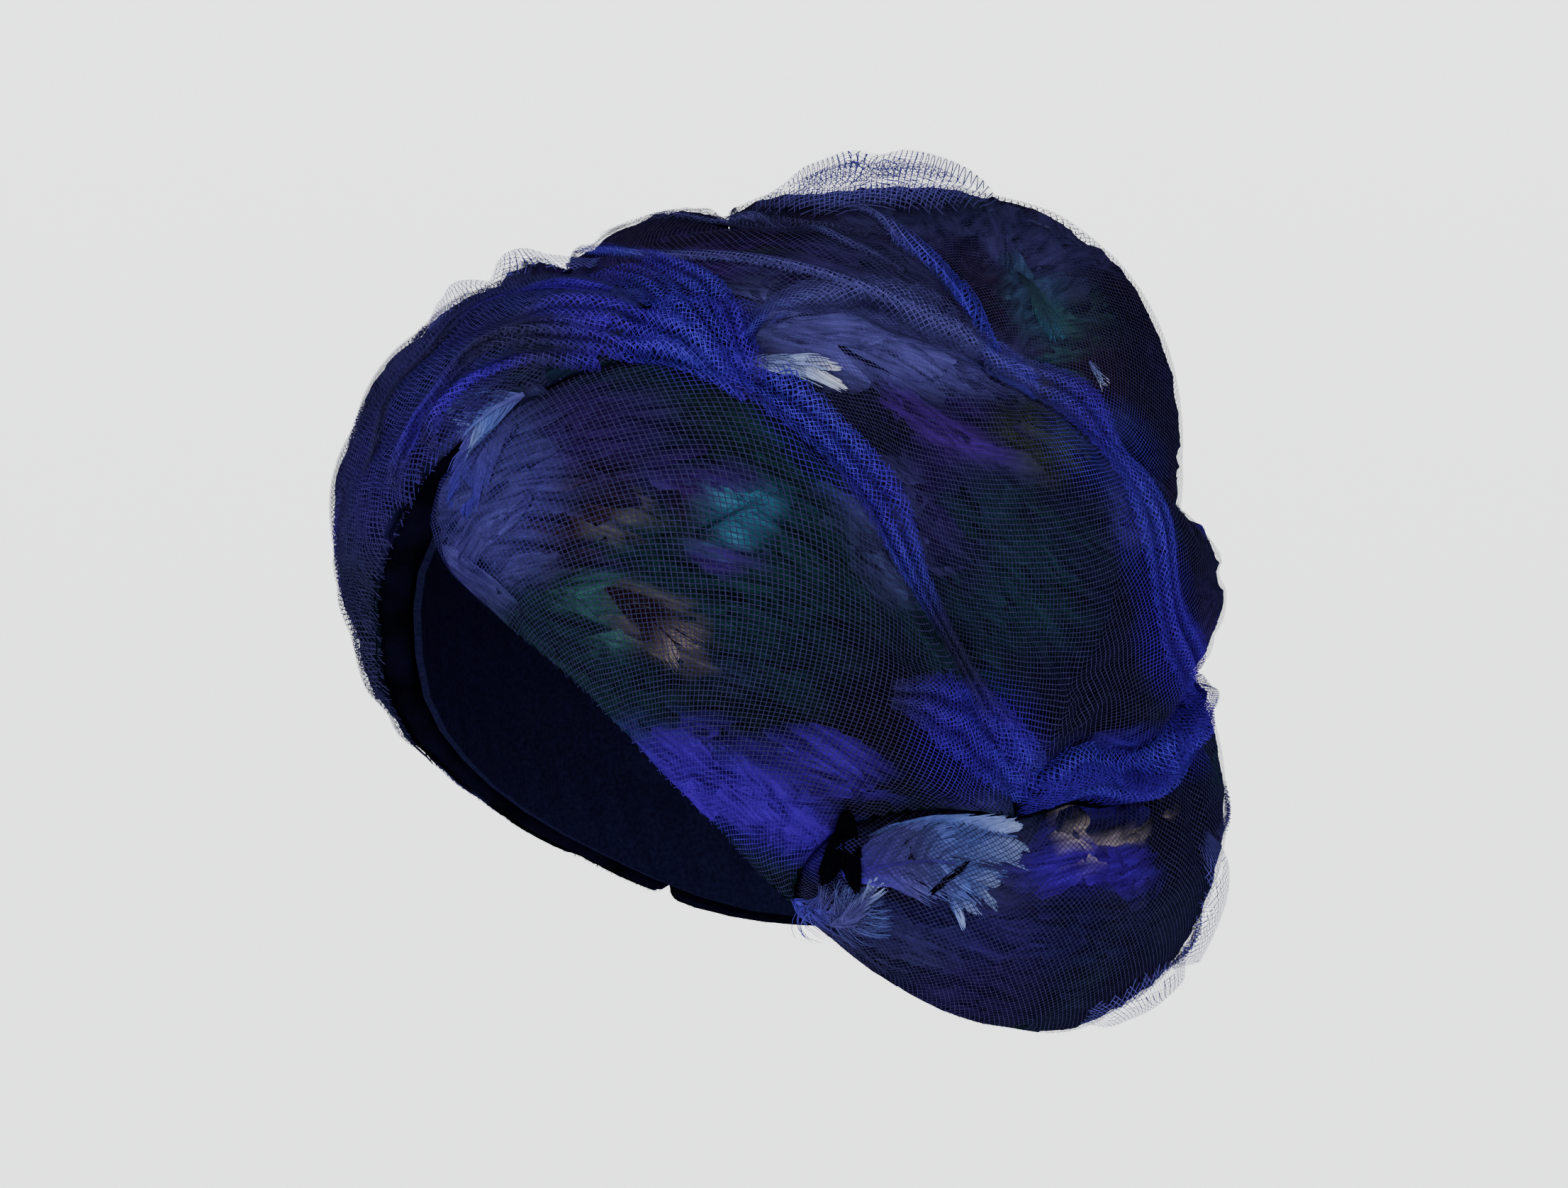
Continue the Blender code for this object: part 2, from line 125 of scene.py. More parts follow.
def lookingAt(obj, place, target):
    obj.location = place
    obj.rotation_euler = (Vector(place) - Vector(target)).to_track_quat("Z", "Y").to_euler()


# the photo camera's place and its axes: right, up and forward
def photoAxes():
    azimuth, pitch = math.radians(photo["azimuth"]), math.radians(photo["pitch"])
    place = around(photo["azimuth"], photo["elevation"]) * photo["distance"]
    level = Vector((-math.sin(azimuth), math.cos(azimuth), 0))
    forward = level * math.cos(pitch) - Vector((0, 0, math.sin(pitch)))
    right = Vector((math.cos(azimuth), math.sin(azimuth), 0))
    return place, right, right.cross(forward), forward


def photoRay(pixel):
    place, right, up, forward = photoAxes()
    x = (pixel[0] - photo["middle"][0]) / photo["focal"]
    y = (pixel[1] - photo["middle"][1]) / photo["focal"]
    return place, (forward + right * x - up * y).normalized()


# where points lie in the photo, in its pixels
def photoPixels(points):
    place, right, up, forward = (np.array(axis) for axis in photoAxes())
    depth = (points - place) @ forward
    x = photo["middle"][0] + photo["focal"] * ((points - place) @ right) / depth
    y = photo["middle"][1] - photo["focal"] * ((points - place) @ up) / depth
    return np.stack((x, y), axis=1)


def makeCamera():
    data = bpy.data.cameras.new("camera")
    data.sensor_width = 36
    data.lens = studio["lens"]
    camera = newObject("camera", data)
    lookingAt(camera, around(photo["azimuth"], photo["elevation"]) * photo["distance"], studio["aim"])
    bpy.context.scene.camera = camera


def makeLights():
    for name, (azimuth, elevation, distance, size, watts) in studioLights.items():
        data = bpy.data.lights.new(name, "AREA")
        data.size = size
        data.energy = watts
        lookingAt(newObject(name, data), around(azimuth, elevation) * distance, (0, 0, 0))
    world = bpy.data.worlds.new("sky")
    world.use_nodes = True
    background = world.node_tree.nodes["Background"]
    background.inputs["Color"].default_value = (*studio["skyTint"], 1)
    background.inputs["Strength"].default_value = studio["sky"]
    bpy.context.scene.world = world


# a floor that turns up into a round wall, so that every view has the same pale ground
def makeFloor():
    bm = bmesh.new()
    level = cadLow.z - studio["floorBelow"]
    bend = studio["wallRadius"] - studio["floorRadius"]
    profile = [Vector((0, 0, level)), Vector((studio["floorRadius"], 0, level))]
    for step in range(1, 9):
        turn = math.pi / 2 * step / 8
        profile.append(Vector((studio["floorRadius"] + bend * math.sin(turn), 0,
                               level + bend * (1 - math.cos(turn)))))
    profile.append(Vector((studio["wallRadius"], 0, level + studio["wallHeight"])))
    points = [bm.verts.new(place) for place in profile]
    edges = [bm.edges.new(pair) for pair in zip(points, points[1:])]
    bmesh.ops.spin(bm, geom=points + edges, cent=(0, 0, 0), axis=(0, 0, 1), angle=2 * math.pi,
                   steps=72, use_merge=True)
    bmesh.ops.remove_doubles(bm, verts=bm.verts, dist=0.0005)
    bmesh.ops.recalc_face_normals(bm, faces=bm.faces)
    mesh = bpy.data.meshes.new("floor")
    bm.to_mesh(mesh)
    bm.free()
    mesh.shade_smooth()
    floor = newObject("floor", mesh)
    material = bpy.data.materials.new("paper")
    material.use_nodes = True
    shader = material.node_tree.nodes["Principled BSDF"]
    shader.inputs["Base Color"].default_value = (*studio["paper"], 1)
    shader.inputs["Emission Color"].default_value = (*studio["glowTint"], 1)
    shader.inputs["Emission Strength"].default_value = studio["glow"]
    shader.inputs["Roughness"].default_value = 0.9
    mesh.materials.append(material)


makeCamera()
makeLights()
makeFloor()
print("camera, floor and light are set")


# The block that the hat is shaped on and the folds on it, at the sizes of the frame's own solids

# a row for each level: rise in degrees, then height, half width, half length and middle in mm
headBlock = [
    (-62, -116, 66, 80, 12),
    (-40, -76, 76, 94, 5),
    (-20, -38, 79, 98, 1),
    (0, 0, 80, 99, 0),
    (20, 34, 79, 96, 0),
    (40, 63, 71, 84, 4),
    (60, 81, 52, 61, 13),
    (75, 89, 28, 33, 21),
    (90, 92, 0, 0, 26),
]

# seams between the folds, as (around, rise) in degrees: around is 0 at the front, 90 on the left
seams = {
    "leftRim": [(6, 19), (11, 11), (22, 4.5), (38, -5.5), (55, -21), (67, -33)],
    "napeRim": [(67, -33), (79, -43), (90, -49), (105, -53.5), (130, -55), (155, -54.5), (180, -54),
                (205, -54.5), (230, -55), (255, -53.5), (272, -48)],
    "rightRim": [(272, -48), (284, -42), (297, -35), (310, -27), (322, -19), (332, -11), (340, -1),
                 (354, 10), (360, 15), (366, 19)],
    "brow": [(6, 19), (11, 25), (17, 30), (24, 35), (31, 39), (38, 41)],
    "knotFoot": [(38, 41), (47, 41), (57, 39)],
    "knotHead": [(36, 52), (47, 52), (58, 51)],
    "knotFront": [(38, 41), (36, 52)],
    "knotBack": [(57, 39), (58, 51)],
    "sweepFront": [(57, 39), (64, 36), (70, 31), (77, 24), (82, 15), (87, 6), (92, -3), (97, -12),
                   (100, -19)],
    "sweepTop": [(58, 51), (66, 50), (73, 50), (81, 47), (90, 43), (98, 39)],
    "sweepRear": [(98, 39), (106, 35), (115, 30), (126, 25), (138, 18), (155, 12), (172, 10)],
    "backJoint": [(172, -9), (172, 10)],
    "earFront": [(67, -33), (67.3, -29.5), (69, -26)],
    "earTop": [(69, -26), (72, -23), (76.5, -21), (83, -20), (91, -20.5), (100, -23)],
    "pinch": [(100, -23), (100, -19)],
    "ruffleFoot": [(100, -23), (105, -22.5), (111, -22), (118, -23.5), (126, -23), (134, -20),
                   (145, -16.5), (162, -12.5)],
    "ruffleHead": [(100, -19), (105, -17), (111, -15.5), (118, -17), (126, -17), (134, -13), (145, -10.5),
                   (162, -9.5)],
    "ruffleEnd": [(162, -12.5), (162, -9.5)],
    "backFoot": [(162, -12.5), (168, -9.3), (172, -9), (187, -8.3), (196, -8), (202, -11)],
    "backHead": [(162, -9.5), (172, -9)],
    "tailFoot": [(202, -11), (220, -18), (242, -29), (260, -40), (272, -48)],
    "tailEnd": [(202, -11), (202, -7.5)],
    "foldTop": [(36, 52), (24, 54), (12, 55), (2, 55)],
    "foldTip": [(2, 55), (-5, 54.7), (-11, 54.2)],
    "foldSide": [(-11, 54.2), (-20, 52.5), (-35, 48), (-52, 42), (-70, 33), (-90, 22), (-110, 10),
                 (-130, 0), (-147, -6), (-158, -7.5)],
    "bandFoot": [(-158, -7.5), (-173, -8.3), (-188, -9)],
    "bandTip": [(-11, 54.2), (-11.5, 56.4)],
    "bandStart": [(-11.5, 56.4), (-18, 57.3), (-24, 58)],
    "bandOver": [(2, 55), (-5, 55.9), (-11.5, 57), (-18, 57.8), (-24, 58)],
    "bandTop": [(-24, 58), (-45, 56), (-68, 51), (-90, 44), (-104, 38)],
    "bandRear": [(-104, 38), (-118, 31), (-135, 23), (-155, 15), (-173, 11), (-188, 10)],
    "crown": [(98, 39), (97, 47), (94, 54), (88, 62), (75, 69), (40, 75), (-20, 76), (-70, 71), (-92, 61),
              (-100, 50), (-104, 38)],
}

# each fold: its seams (~ runs one backwards), then a row for each section along it with
# along, the thickness in mm at its lower and upper edge, the puff in mm and where it peaks
foldPlans = {
    "front_fold": {
        "lower": "~brow ~rightRim ~tailFoot", "upper": "foldTop foldTip foldSide", "start": "knotFront",
        "end": "tailEnd",
        "sections": [(0, 14, 14, 4, 0.5), (0.14, 15, 12, 6, 0.42), (0.2, 9, 10, 9, 0.34),
                     (0.38, 7, 10, 11, 0.38), (0.66, 7, 12, 10, 0.45), (1, 12, 12, 2, 0.5)],
    },
    "left_side_panel": {
        "lower": "leftRim", "upper": "brow knotFoot sweepFront", "end": "earFront earTop pinch",
        "trim": 5,
        "sections": [(0, 5, 9, 2, 0.5), (0.25, 5, 10, 7, 0.5), (0.5, 5, 12, 10, 0.52),
                     (0.75, 5, 13, 11, 0.52), (1, 8, 12, 7, 0.5)],
    },
    "back_sweep_band": {
        "lower": "sweepFront ruffleHead backHead", "upper": "sweepTop sweepRear", "start": "knotBack",
        "end": "backJoint",
        "sections": [(0, 12, 14, 4, 0.5), (0.2, 10, 15, 6, 0.55), (0.46, 10, 15, 9, 0.5),
                     (0.75, 12, 14, 8, 0.5), (1, 12, 13, 5, 0.5)],
    },
    "upper_band": {
        "lower": "~sweepTop ~knotHead foldTop bandOver bandTop", "upper": "crown", "trim": 4,
        "sections": [(0, 9, 12, 2, 0.5), (0.25, 9, 13, 4, 0.55), (0.5, 7, 10, 2, 0.6),
                     (0.75, 9, 13, 4, 0.55), (1, 9, 12, 2, 0.5)],
    },
    "crown_dome": {
        "lower": "crown", "upper": "sweepRear ~bandRear", "trim": 4,
        "sections": [(0, 9, 10, 2, 0.4), (0.25, 10, 9, 5, 0.42), (0.5, 9, 8, 8, 0.42),
                     (0.75, 10, 9, 5, 0.42), (1, 9, 10, 2, 0.4)],
    },
    "right_side_band": {
        "lower": "foldSide bandFoot", "upper": "bandStart bandTop bandRear", "start": "bandTip",
        "end": "backJoint",
        "sections": [(0, 10, 10, 2, 0.5), (0.3, 10, 12, 7, 0.5), (0.7, 10, 13, 8, 0.5),
                     (1, 12, 13, 5, 0.5)],
    },
    "nape_pouf": {
        "lower": "napeRim", "upper": "earTop ruffleFoot backFoot tailFoot", "start": "earFront",
        "trim": 5,
        "sections": [(0, 6, 9, 2, 0.5), (0.1, 9, 11, 10, 0.5), (0.25, 10, 12, 11, 0.5),
                     (0.42, 5, 13, 11, 0.56), (0.6, 5, 13, 11, 0.56), (0.88, 8, 11, 10, 0.5),
                     (1, 6, 9, 2, 0.5)],
    },
    "pouf_ruffle": {
        "lower": "ruffleFoot", "upper": "ruffleHead", "start": "pinch", "end": "ruffleEnd",
        "sections": [(0, 12, 12, 3, 0.5), (0.2, 14, 14, 6, 0.5), (0.8, 14, 14, 6, 0.5),
                     (1, 12, 12, 1, 0.5)],
    },
    "gathered_knot": {
        "lower": "knotFoot", "upper": "knotHead", "start": "knotFront", "end": "knotBack",
        "sections": [(0, 13, 13, 5, 0.5), (0.5, 12, 12, 6, 0.5), (1, 12, 13, 5, 0.5)],
    },
}

# grooves along the folds between their pleats: place across at the start and the end,
# depth in mm and width as a share of the fold's
foldPleats = {
    "front_fold": [(0.26, 0.18, 2.8, 0.06), (0.48, 0.44, 2.2, 0.06), (0.70, 0.78, 2.6, 0.06)],
    "back_sweep_band": [(0.35, 0.28, 1.6, 0.06), (0.70, 0.62, 1.8, 0.06)],
    "upper_band": [(0.24, 0.24, 1.6, 0.08), (0.52, 0.50, 1.5, 0.08)],
    "gathered_knot": [(0.25, 0.25, 2.5, 0.06), (0.5, 0.5, 2.5, 0.06), (0.75, 0.75, 2.5, 0.06)],
}

padding = {
    "capToFold": 1.0,     # mm between the foundation and a fold
    "fullness": 0.75,     # how square the puff's section is
    "creaseReach": 6.5,   # mm from a seam over which a fold turns down into it
    "creaseShare": 0.22,  # of the fold's height that it loses there
}


# reads a table at places in its first column, on a smooth curve through its rows
def readRows(rows, places):
    table = np.array(rows, float)
    stops, values = table[:, 0], table[:, 1:]
    slopes = np.empty_like(values)
    slopes[1:-1] = (values[2:] - values[:-2]) / (stops[2:] - stops[:-2])[:, None]
    slopes[0] = (values[1] - values[0]) / (stops[1] - stops[0])
    slopes[-1] = (values[-1] - values[-2]) / (stops[-1] - stops[-2])
    index = np.clip(np.searchsorted(stops, places) - 1, 0, len(stops) - 2)
    step = (stops[index + 1] - stops[index])[:, None]
    t = (places - stops[index])[:, None] / step
    return ((1 + 2 * t) * (1 - t) ** 2 * values[index] + t * (1 - t) ** 2 * step * slopes[index]
            + t ** 2 * (3 - 2 * t) * values[index + 1] + t ** 2 * (t - 1) * step * slopes[index + 1])


def unit(vectors):
    return vectors / np.maximum(np.linalg.norm(vectors, axis=-1, keepdims=True), 1e-12)


# how far each point lies along a line of points, from its first
def runOf(points):
    return np.concatenate(([0], np.cumsum(np.linalg.norm(np.diff(points, axis=0), axis=1))))


# reads a grid of points between its own, at x down its rows and y over its columns
def between(grid, x, y):
    i = np.minimum(x.astype(int), grid.shape[0] - 2)
    j = np.minimum(y.astype(int), grid.shape[1] - 2)
    fx, fy = (x - i)[:, None], (y - j)[:, None]
    low = grid[i, j] * (1 - fx) + grid[i + 1, j] * fx
    high = grid[i, j + 1] * (1 - fx) + grid[i + 1, j + 1] * fx
    return low * (1 - fy) + high * fy


def directions(angles):
    a, r = np.radians(np.array(angles, float)).T
    return np.stack((np.sin(a) * np.cos(r), -np.cos(a) * np.cos(r), np.sin(r)), axis=1)


def blockPoints(turn, rise):
    height, halfWidth, halfLength, middle = readRows(headBlock, np.minimum(rise, 90)).T
    a = np.radians(turn)
    return np.stack((halfWidth * np.sin(a), middle - halfLength * np.cos(a), height), axis=1)


# points that stand off the block by distances in mm
def standOff(toward, distance):
    toward = unit(toward)
    turn = np.degrees(np.arctan2(toward[:, 0], -toward[:, 1]))
    rise = np.degrees(np.arcsin(np.clip(toward[:, 2], -1, 1)))
    step = 0.4
    across = blockPoints(turn + step, rise) - blockPoints(turn - step, rise)
    upward = blockPoints(turn, rise + step) - blockPoints(turn, rise - step)
    out = unit(np.cross(across, upward))
    out[rise > 90 - 2 * step] = (0, 0, 1)
    return (blockPoints(turn, rise) + out * np.reshape(distance, (-1, 1))) * mm


# a smooth line through points
def throughPoints(rows, samples=12):
    last = len(rows) - 1
    points = []
    for index in range(last):
        before, start, end, after = (rows[max(index - 1, 0)], rows[index], rows[index + 1],
                                     rows[min(index + 2, last)])
        t = np.arange(samples)[:, None] / samples
        points.append(0.5 * (2 * start + (end - before) * t
                             + (2 * before - 5 * start + 4 * end - after) * t ** 2
                             + (3 * start - before - 3 * end + after) * t ** 3))
    return np.concatenate(points + [rows[-1:]])


# a smooth line on the block through one or more seams, read by the share of its length
class Line:
    def __init__(self, names):
        stretches = []
        for name in names.split():
            stretch = unit(throughPoints(directions(seams[name.strip("~")])))
            if name.startswith("~"):
                stretch = stretch[::-1]
            stretches.append(stretch[1 if stretches else 0:])
        self.points = np.concatenate(stretches)
        run = runOf(standOff(self.points, 0) / mm)
        self.length = run[-1]
        self.shares = run / self.length

    def at(self, shares):
        shares = np.clip(shares, 0, 1)
        return np.stack([np.interp(shares, self.shares, self.points[:, k]) for k in range(3)], 1)


# slow smooth waves over the hat, between -1 and 1, with bumps of a size in mm
def waves(points, size, seed):
    random = np.random.default_rng(seed)
    total = np.zeros(len(points))
    for count in range(7):
        heading = unit(random.normal(size=3))
        pace = 2 * math.pi / (size * mm * random.uniform(0.7, 1.5))
        total += np.sin(points @ heading * pace + random.uniform(0, 2 * math.pi))
    return np.clip(total / 4, -1, 1)


# one fold: along runs from its start to its end, and across from its lower to its upper edge
class Fold:
    def __init__(self, name):
        plan = foldPlans[name]
        self.name, self.plan = name, plan
        self.lower, self.upper = Line(plan["lower"]), Line(plan["upper"])
        self.start = Line(plan["start"]) if "start" in plan else None
        self.end = Line(plan["end"]) if "end" in plan else None
        self.length, self.stops, self.widths = 100.0, np.array([0.0, 1.0]), np.full(2, 60.0)
        middle = self.points(np.linspace(0, 1, 60), np.full(60, 0.5), 0)
        self.length = runOf(middle)[-1] / mm
        stops = np.linspace(0, 1, 40)
        rows = [self.points(np.full(24, stop), np.linspace(0, 1, 24), 0) for stop in stops]
        self.widths = np.array([runOf(row)[-1] / mm for row in rows])
        self.stops = stops
        self.width = self.widths.max()
        self.move = None    # how far the simulation moved each point of its pad

    def widthAt(self, along):
        return np.interp(along, self.stops, self.widths)

    def edge(self, line, along):
        cut = self.plan.get("trim", 0) / line.length
        low = 0 if self.start else cut
        high = 1 if self.end else 1 - cut
        return line.at(low + along * (high - low))

    def side(self, line, first, last, across):
        if line:
            return line.at(across)
        return first + (last - first) * across[:, None]

    def toward(self, along, across):
        ends = np.array([0.0, 1.0])
        low, high = self.edge(self.lower, ends), self.edge(self.upper, ends)
        along, across = np.clip(along, 0, 1), np.clip(across, 0, 1)
        a, c = along[:, None], across[:, None]
        corners = (low[0] * (1 - a) + low[1] * a) * (1 - c) + (high[0] * (1 - a) + high[1] * a) * c
        sides = (self.edge(self.lower, along) * (1 - c) + self.edge(self.upper, along) * c
                 + self.side(self.start, low[0], high[0], across) * (1 - a)
                 + self.side(self.end, low[1], high[1], across) * a)
        return unit(sides - corners)

    def height(self, along, across):
        along, across = np.clip(along, 0, 1), np.clip(across, 0, 1)
        lowerEdge, upperEdge, puff, peak = readRows(self.plan["sections"], along).T
        lean = across ** (math.log(0.5) / np.log(peak))
        height = lowerEdge + (upperEdge - lowerEdge) * across
        height += puff * np.maximum(0, np.sin(math.pi * lean)) ** padding["fullness"]
        for atStart, atEnd, depth, width in foldPleats.get(self.name, ()):
            centre = atStart + (atEnd - atStart) * along
            height -= depth * np.exp(-((across - centre) / width) ** 2)
        return height

    # how far each place lies from the fold's own edges, in mm
    def fromEdge(self, along, across):
        inAcross = np.minimum(across, 1 - across) * self.widthAt(along)
        inAlong = np.minimum(along, 1 - along) * self.length
        return np.maximum(0, np.minimum(inAcross, inAlong))

    # points that lie lift mm above the fold's outer side
    def points(self, along, across, lift):
        toward = self.toward(along, across)
        height = self.height(along, across)
        near = np.clip(1 - self.fromEdge(along, across) / padding["creaseReach"], 0, 1)
        height = height * (1 - padding["creaseShare"] * near ** 2)
        return standOff(toward, padding["capToFold"] + height + lift)

    def inner(self, along, across):
        return standOff(self.toward(along, across), padding["capToFold"])

    # points that lie lift mm above the finished pad
    def dressed(self, along, across, lift):
        points = self.points(along, across, lift - padLooks["under"])
        if self.move is None:
            return points
        rows, columns = self.move.shape[0] - 1, self.move.shape[1] - 1
        return points + between(self.move, np.clip(along, 0, 1) * rows, np.clip(across, 0, 1) * columns)


folds = {name: Fold(name) for name in foldPlans}
for fold in folds.values():
    print(f"{fold.name}: {fold.length:.0f} mm long, {fold.width:.0f} mm wide")


# Materials

# one shader socket, so that an expression on sockets adds its own nodes
class Value:
    def __init__(self, finish, socket):
        self.finish, self.socket = finish, socket

    def math(self, operation, first, second):
        return self.finish.node("Math", {"operation": operation}, {0: first, 1: second})

    def __add__(self, other):
        return self.math("ADD", self, other)

    def __radd__(self, other):
        return self.math("ADD", other, self)

    def __mul__(self, other):
        return self.math("MULTIPLY", self, other)

    def __rmul__(self, other):
        return self.math("MULTIPLY", other, self)


# a material that starts from a Principled BSDF, with the constants set on its own sockets
class Finish:
    def __init__(self, name, **constants):
        self.material = bpy.data.materials.new(name)
        self.material.use_nodes = True
        self.tree = self.material.node_tree
        self.shader = self.tree.nodes["Principled BSDF"]
        for key, value in constants.items():
            self.shader.inputs[key.replace("_", " ")].default_value = value

    # settings come first, then the sockets' values or links
    def node(self, kind, settings=None, sockets=None, output=0):
        node = self.tree.nodes.new("ShaderNode" + kind)
        for key, value in (settings or {}).items():
            if key == "stops":
                self.setStops(node.color_ramp, value)
            else:
                setattr(node, key, value)
        for key, value in (sockets or {}).items():
            self.feed(node.inputs[key], value)
        return Value(self, node.outputs[output])

    def feed(self, socket, value):
        if isinstance(value, Value):
            self.tree.links.new(value.socket, socket)
        else:
            socket.default_value = value

    def setStops(self, ramp, stops):
        while len(ramp.elements) < len(stops):
            ramp.elements.new(1.0)
        for element, (place, shade) in zip(ramp.elements, stops):
            element.position = place
            element.color = shade

    def mix(self, factor, first, second, blend="MIX"):
        settings = {"data_type": "RGBA", "blend_type": blend}
        return self.node("Mix", settings, {0: factor, 6: first, 7: second}, 2)

    def noise(self, vector, scale, detail=3.0, roughness=0.55):
        return self.node("TexNoise", {}, {"Vector": vector, "Scale": scale, "Detail": detail,
                                          "Roughness": roughness})

    def tint(self):
        return self.node("VertexColor", {"layer_name": "tint"})

    def flow(self, scale):
        return self.stretched(self.node("UVMap", {"uv_map": "flow"}), scale)

    def place(self):
        return self.node("TexCoord", {}, {}, 3)

    def stretched(self, vector, scale):
        return self.node("VectorMath", {"operation": "MULTIPLY"}, {0: vector, 1: scale})

    def ramp(self, value, low, high, shades=(0.0, 1.0)):
        stops = [(low, (shades[0],) * 3 + (1,)), (high, (shades[1],) * 3 + (1,))]
        return self.node("ValToRGB", {"stops": stops}, {"Fac": value})

    def bump(self, height, strength, distance):
        return self.node("Bump", {}, {"Strength": strength, "Distance": distance,
                                      "Height": height})

    def end(self, **sockets):
        for key, value in sockets.items():
            self.feed(self.shader.inputs[key.replace("_", " ")], value)
        return self.material


# colours as they look on a screen, from 0 to 255
dyes = {
    "ink": (6, 6, 12),
    "navy": (12, 12, 32),
    "plum": (22, 11, 22),
    "umber": (30, 20, 19),
    "pine": (14, 34, 36),
    "moss": (40, 48, 32),
    "green": (42, 84, 78),
    "teal": (58, 112, 140),
    "violet": (58, 20, 116),
    "royal": (64, 24, 168),
    "ultramarine": (50, 4, 136),
    "cobalt": (70, 52, 186),
    "slate": (76, 72, 138),
    "steel": (88, 104, 184),
    "sky": (146, 162, 222),
    "white": (214, 220, 238),
    "tan": (160, 148, 142),
    "thread": (54, 50, 92),
    "haze": (92, 86, 176),
}

# how deep the dyes are under the studio's light
dyeDepth = 0.34


def dye(name):
    screen = np.array(dyes[name], float) / 255
    return dyeDepth * np.where(screen > 0.04045, ((screen + 0.055) / 1.055) ** 2.4, screen / 12.92)


# Meshes from the grid operator

# separate strips that run along x, each with its own steps across; gives their places in the strips
def stripMesh(strips, steps, across=1):
    bm = bmesh.new()
    rows = strips * (across + 1) - 1
    bmesh.ops.create_grid(bm, x_segments=steps, y_segments=rows, size=1)
    gaps = [face for face in bm.faces if (face.index // steps) % (across + 1) == across]
    bmesh.ops.delete(bm, geom=gaps, context="FACES")
    order = np.arange((steps + 1) * (rows + 1))
    row = order // (steps + 1)
    return bm, (order % (steps + 1)) / steps, row // (across + 1), row % (across + 1) / across


def gridMesh(alongSteps, acrossSteps):
    bm = bmesh.new()
    bmesh.ops.create_grid(bm, x_segments=alongSteps, y_segments=acrossSteps, size=1)
    order = np.arange((alongSteps + 1) * (acrossSteps + 1))
    return bm, order % (alongSteps + 1) / alongSteps, order // (alongSteps + 1) / acrossSteps


# one property of all a mesh's items, a row for each
def readAll(items, key, width, kind=np.float32):
    values = np.empty(len(items) * width, kind)
    items.foreach_get(key, values)
    return values.reshape(-1, width)


# finishes a bmesh as a mesh with its points in place, an optional colour and a map in mm
def settled(name, bm, points, tint=None, flow=None):
    mesh = bpy.data.meshes.new(name)
    bm.to_mesh(mesh)
    bm.free()
    mesh.vertices.foreach_set("co", np.ascontiguousarray(points, dtype=np.float32).ravel())
    mesh.update()
    if (readAll(mesh.polygons, "center", 3) * readAll(mesh.polygons, "normal", 3)).sum() < 0:
        mesh.flip_normals()
    if tint is not None:
        layer = mesh.color_attributes.new("tint", "FLOAT_COLOR", "POINT")
        colours = np.concatenate((tint, np.ones((len(tint), 1))), axis=1)
        layer.data.foreach_set("color", colours.astype(np.float32).ravel())
    if flow is not None:
        corners = readAll(mesh.loops, "vertex_index", 1, np.int32)[:, 0]
        layer = mesh.uv_layers.new(name="flow")
        layer.data.foreach_set("uv", flow[corners].astype(np.float32).ravel())
    mesh.shade_smooth()
    return mesh


def makePiece(name, mesh, material):
    piece = newObject(name, mesh)
    mesh.materials.append(material)
    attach(piece, "root")
    return piece


# Padded folds

padLooks = {
    "step": 4.2,           # mm between the points of a pad before it is subdivided
    "under": 0.9,          # mm that a pad starts below its full height
    "swell": 2.0,          # mm that the filling may push it out
    "pressure": 4.0,
    "frames": 20,
    "slack": -0.03,        # the cloth's shrinking, so that it has some to swell with
    "fill": 0.7,           # how much of its form the filling takes
}


def padFinish():
    finish = Finish("quilted_navy", Roughness=0.8, Specular_IOR_Level=0.0)
    cloud = finish.ramp(finish.noise(finish.place(), 60.0), 0.35, 0.7)
    weave = finish.noise(finish.stretched(finish.place(), (900, 900, 2200)), 1.0, 2.0)
    tint = finish.mix(cloud, (*dye("ink"), 1), (*dye("navy"), 1))
    return finish.end(Base_Color=tint, Normal=finish.bump(weave, 0.3, 0.0004))


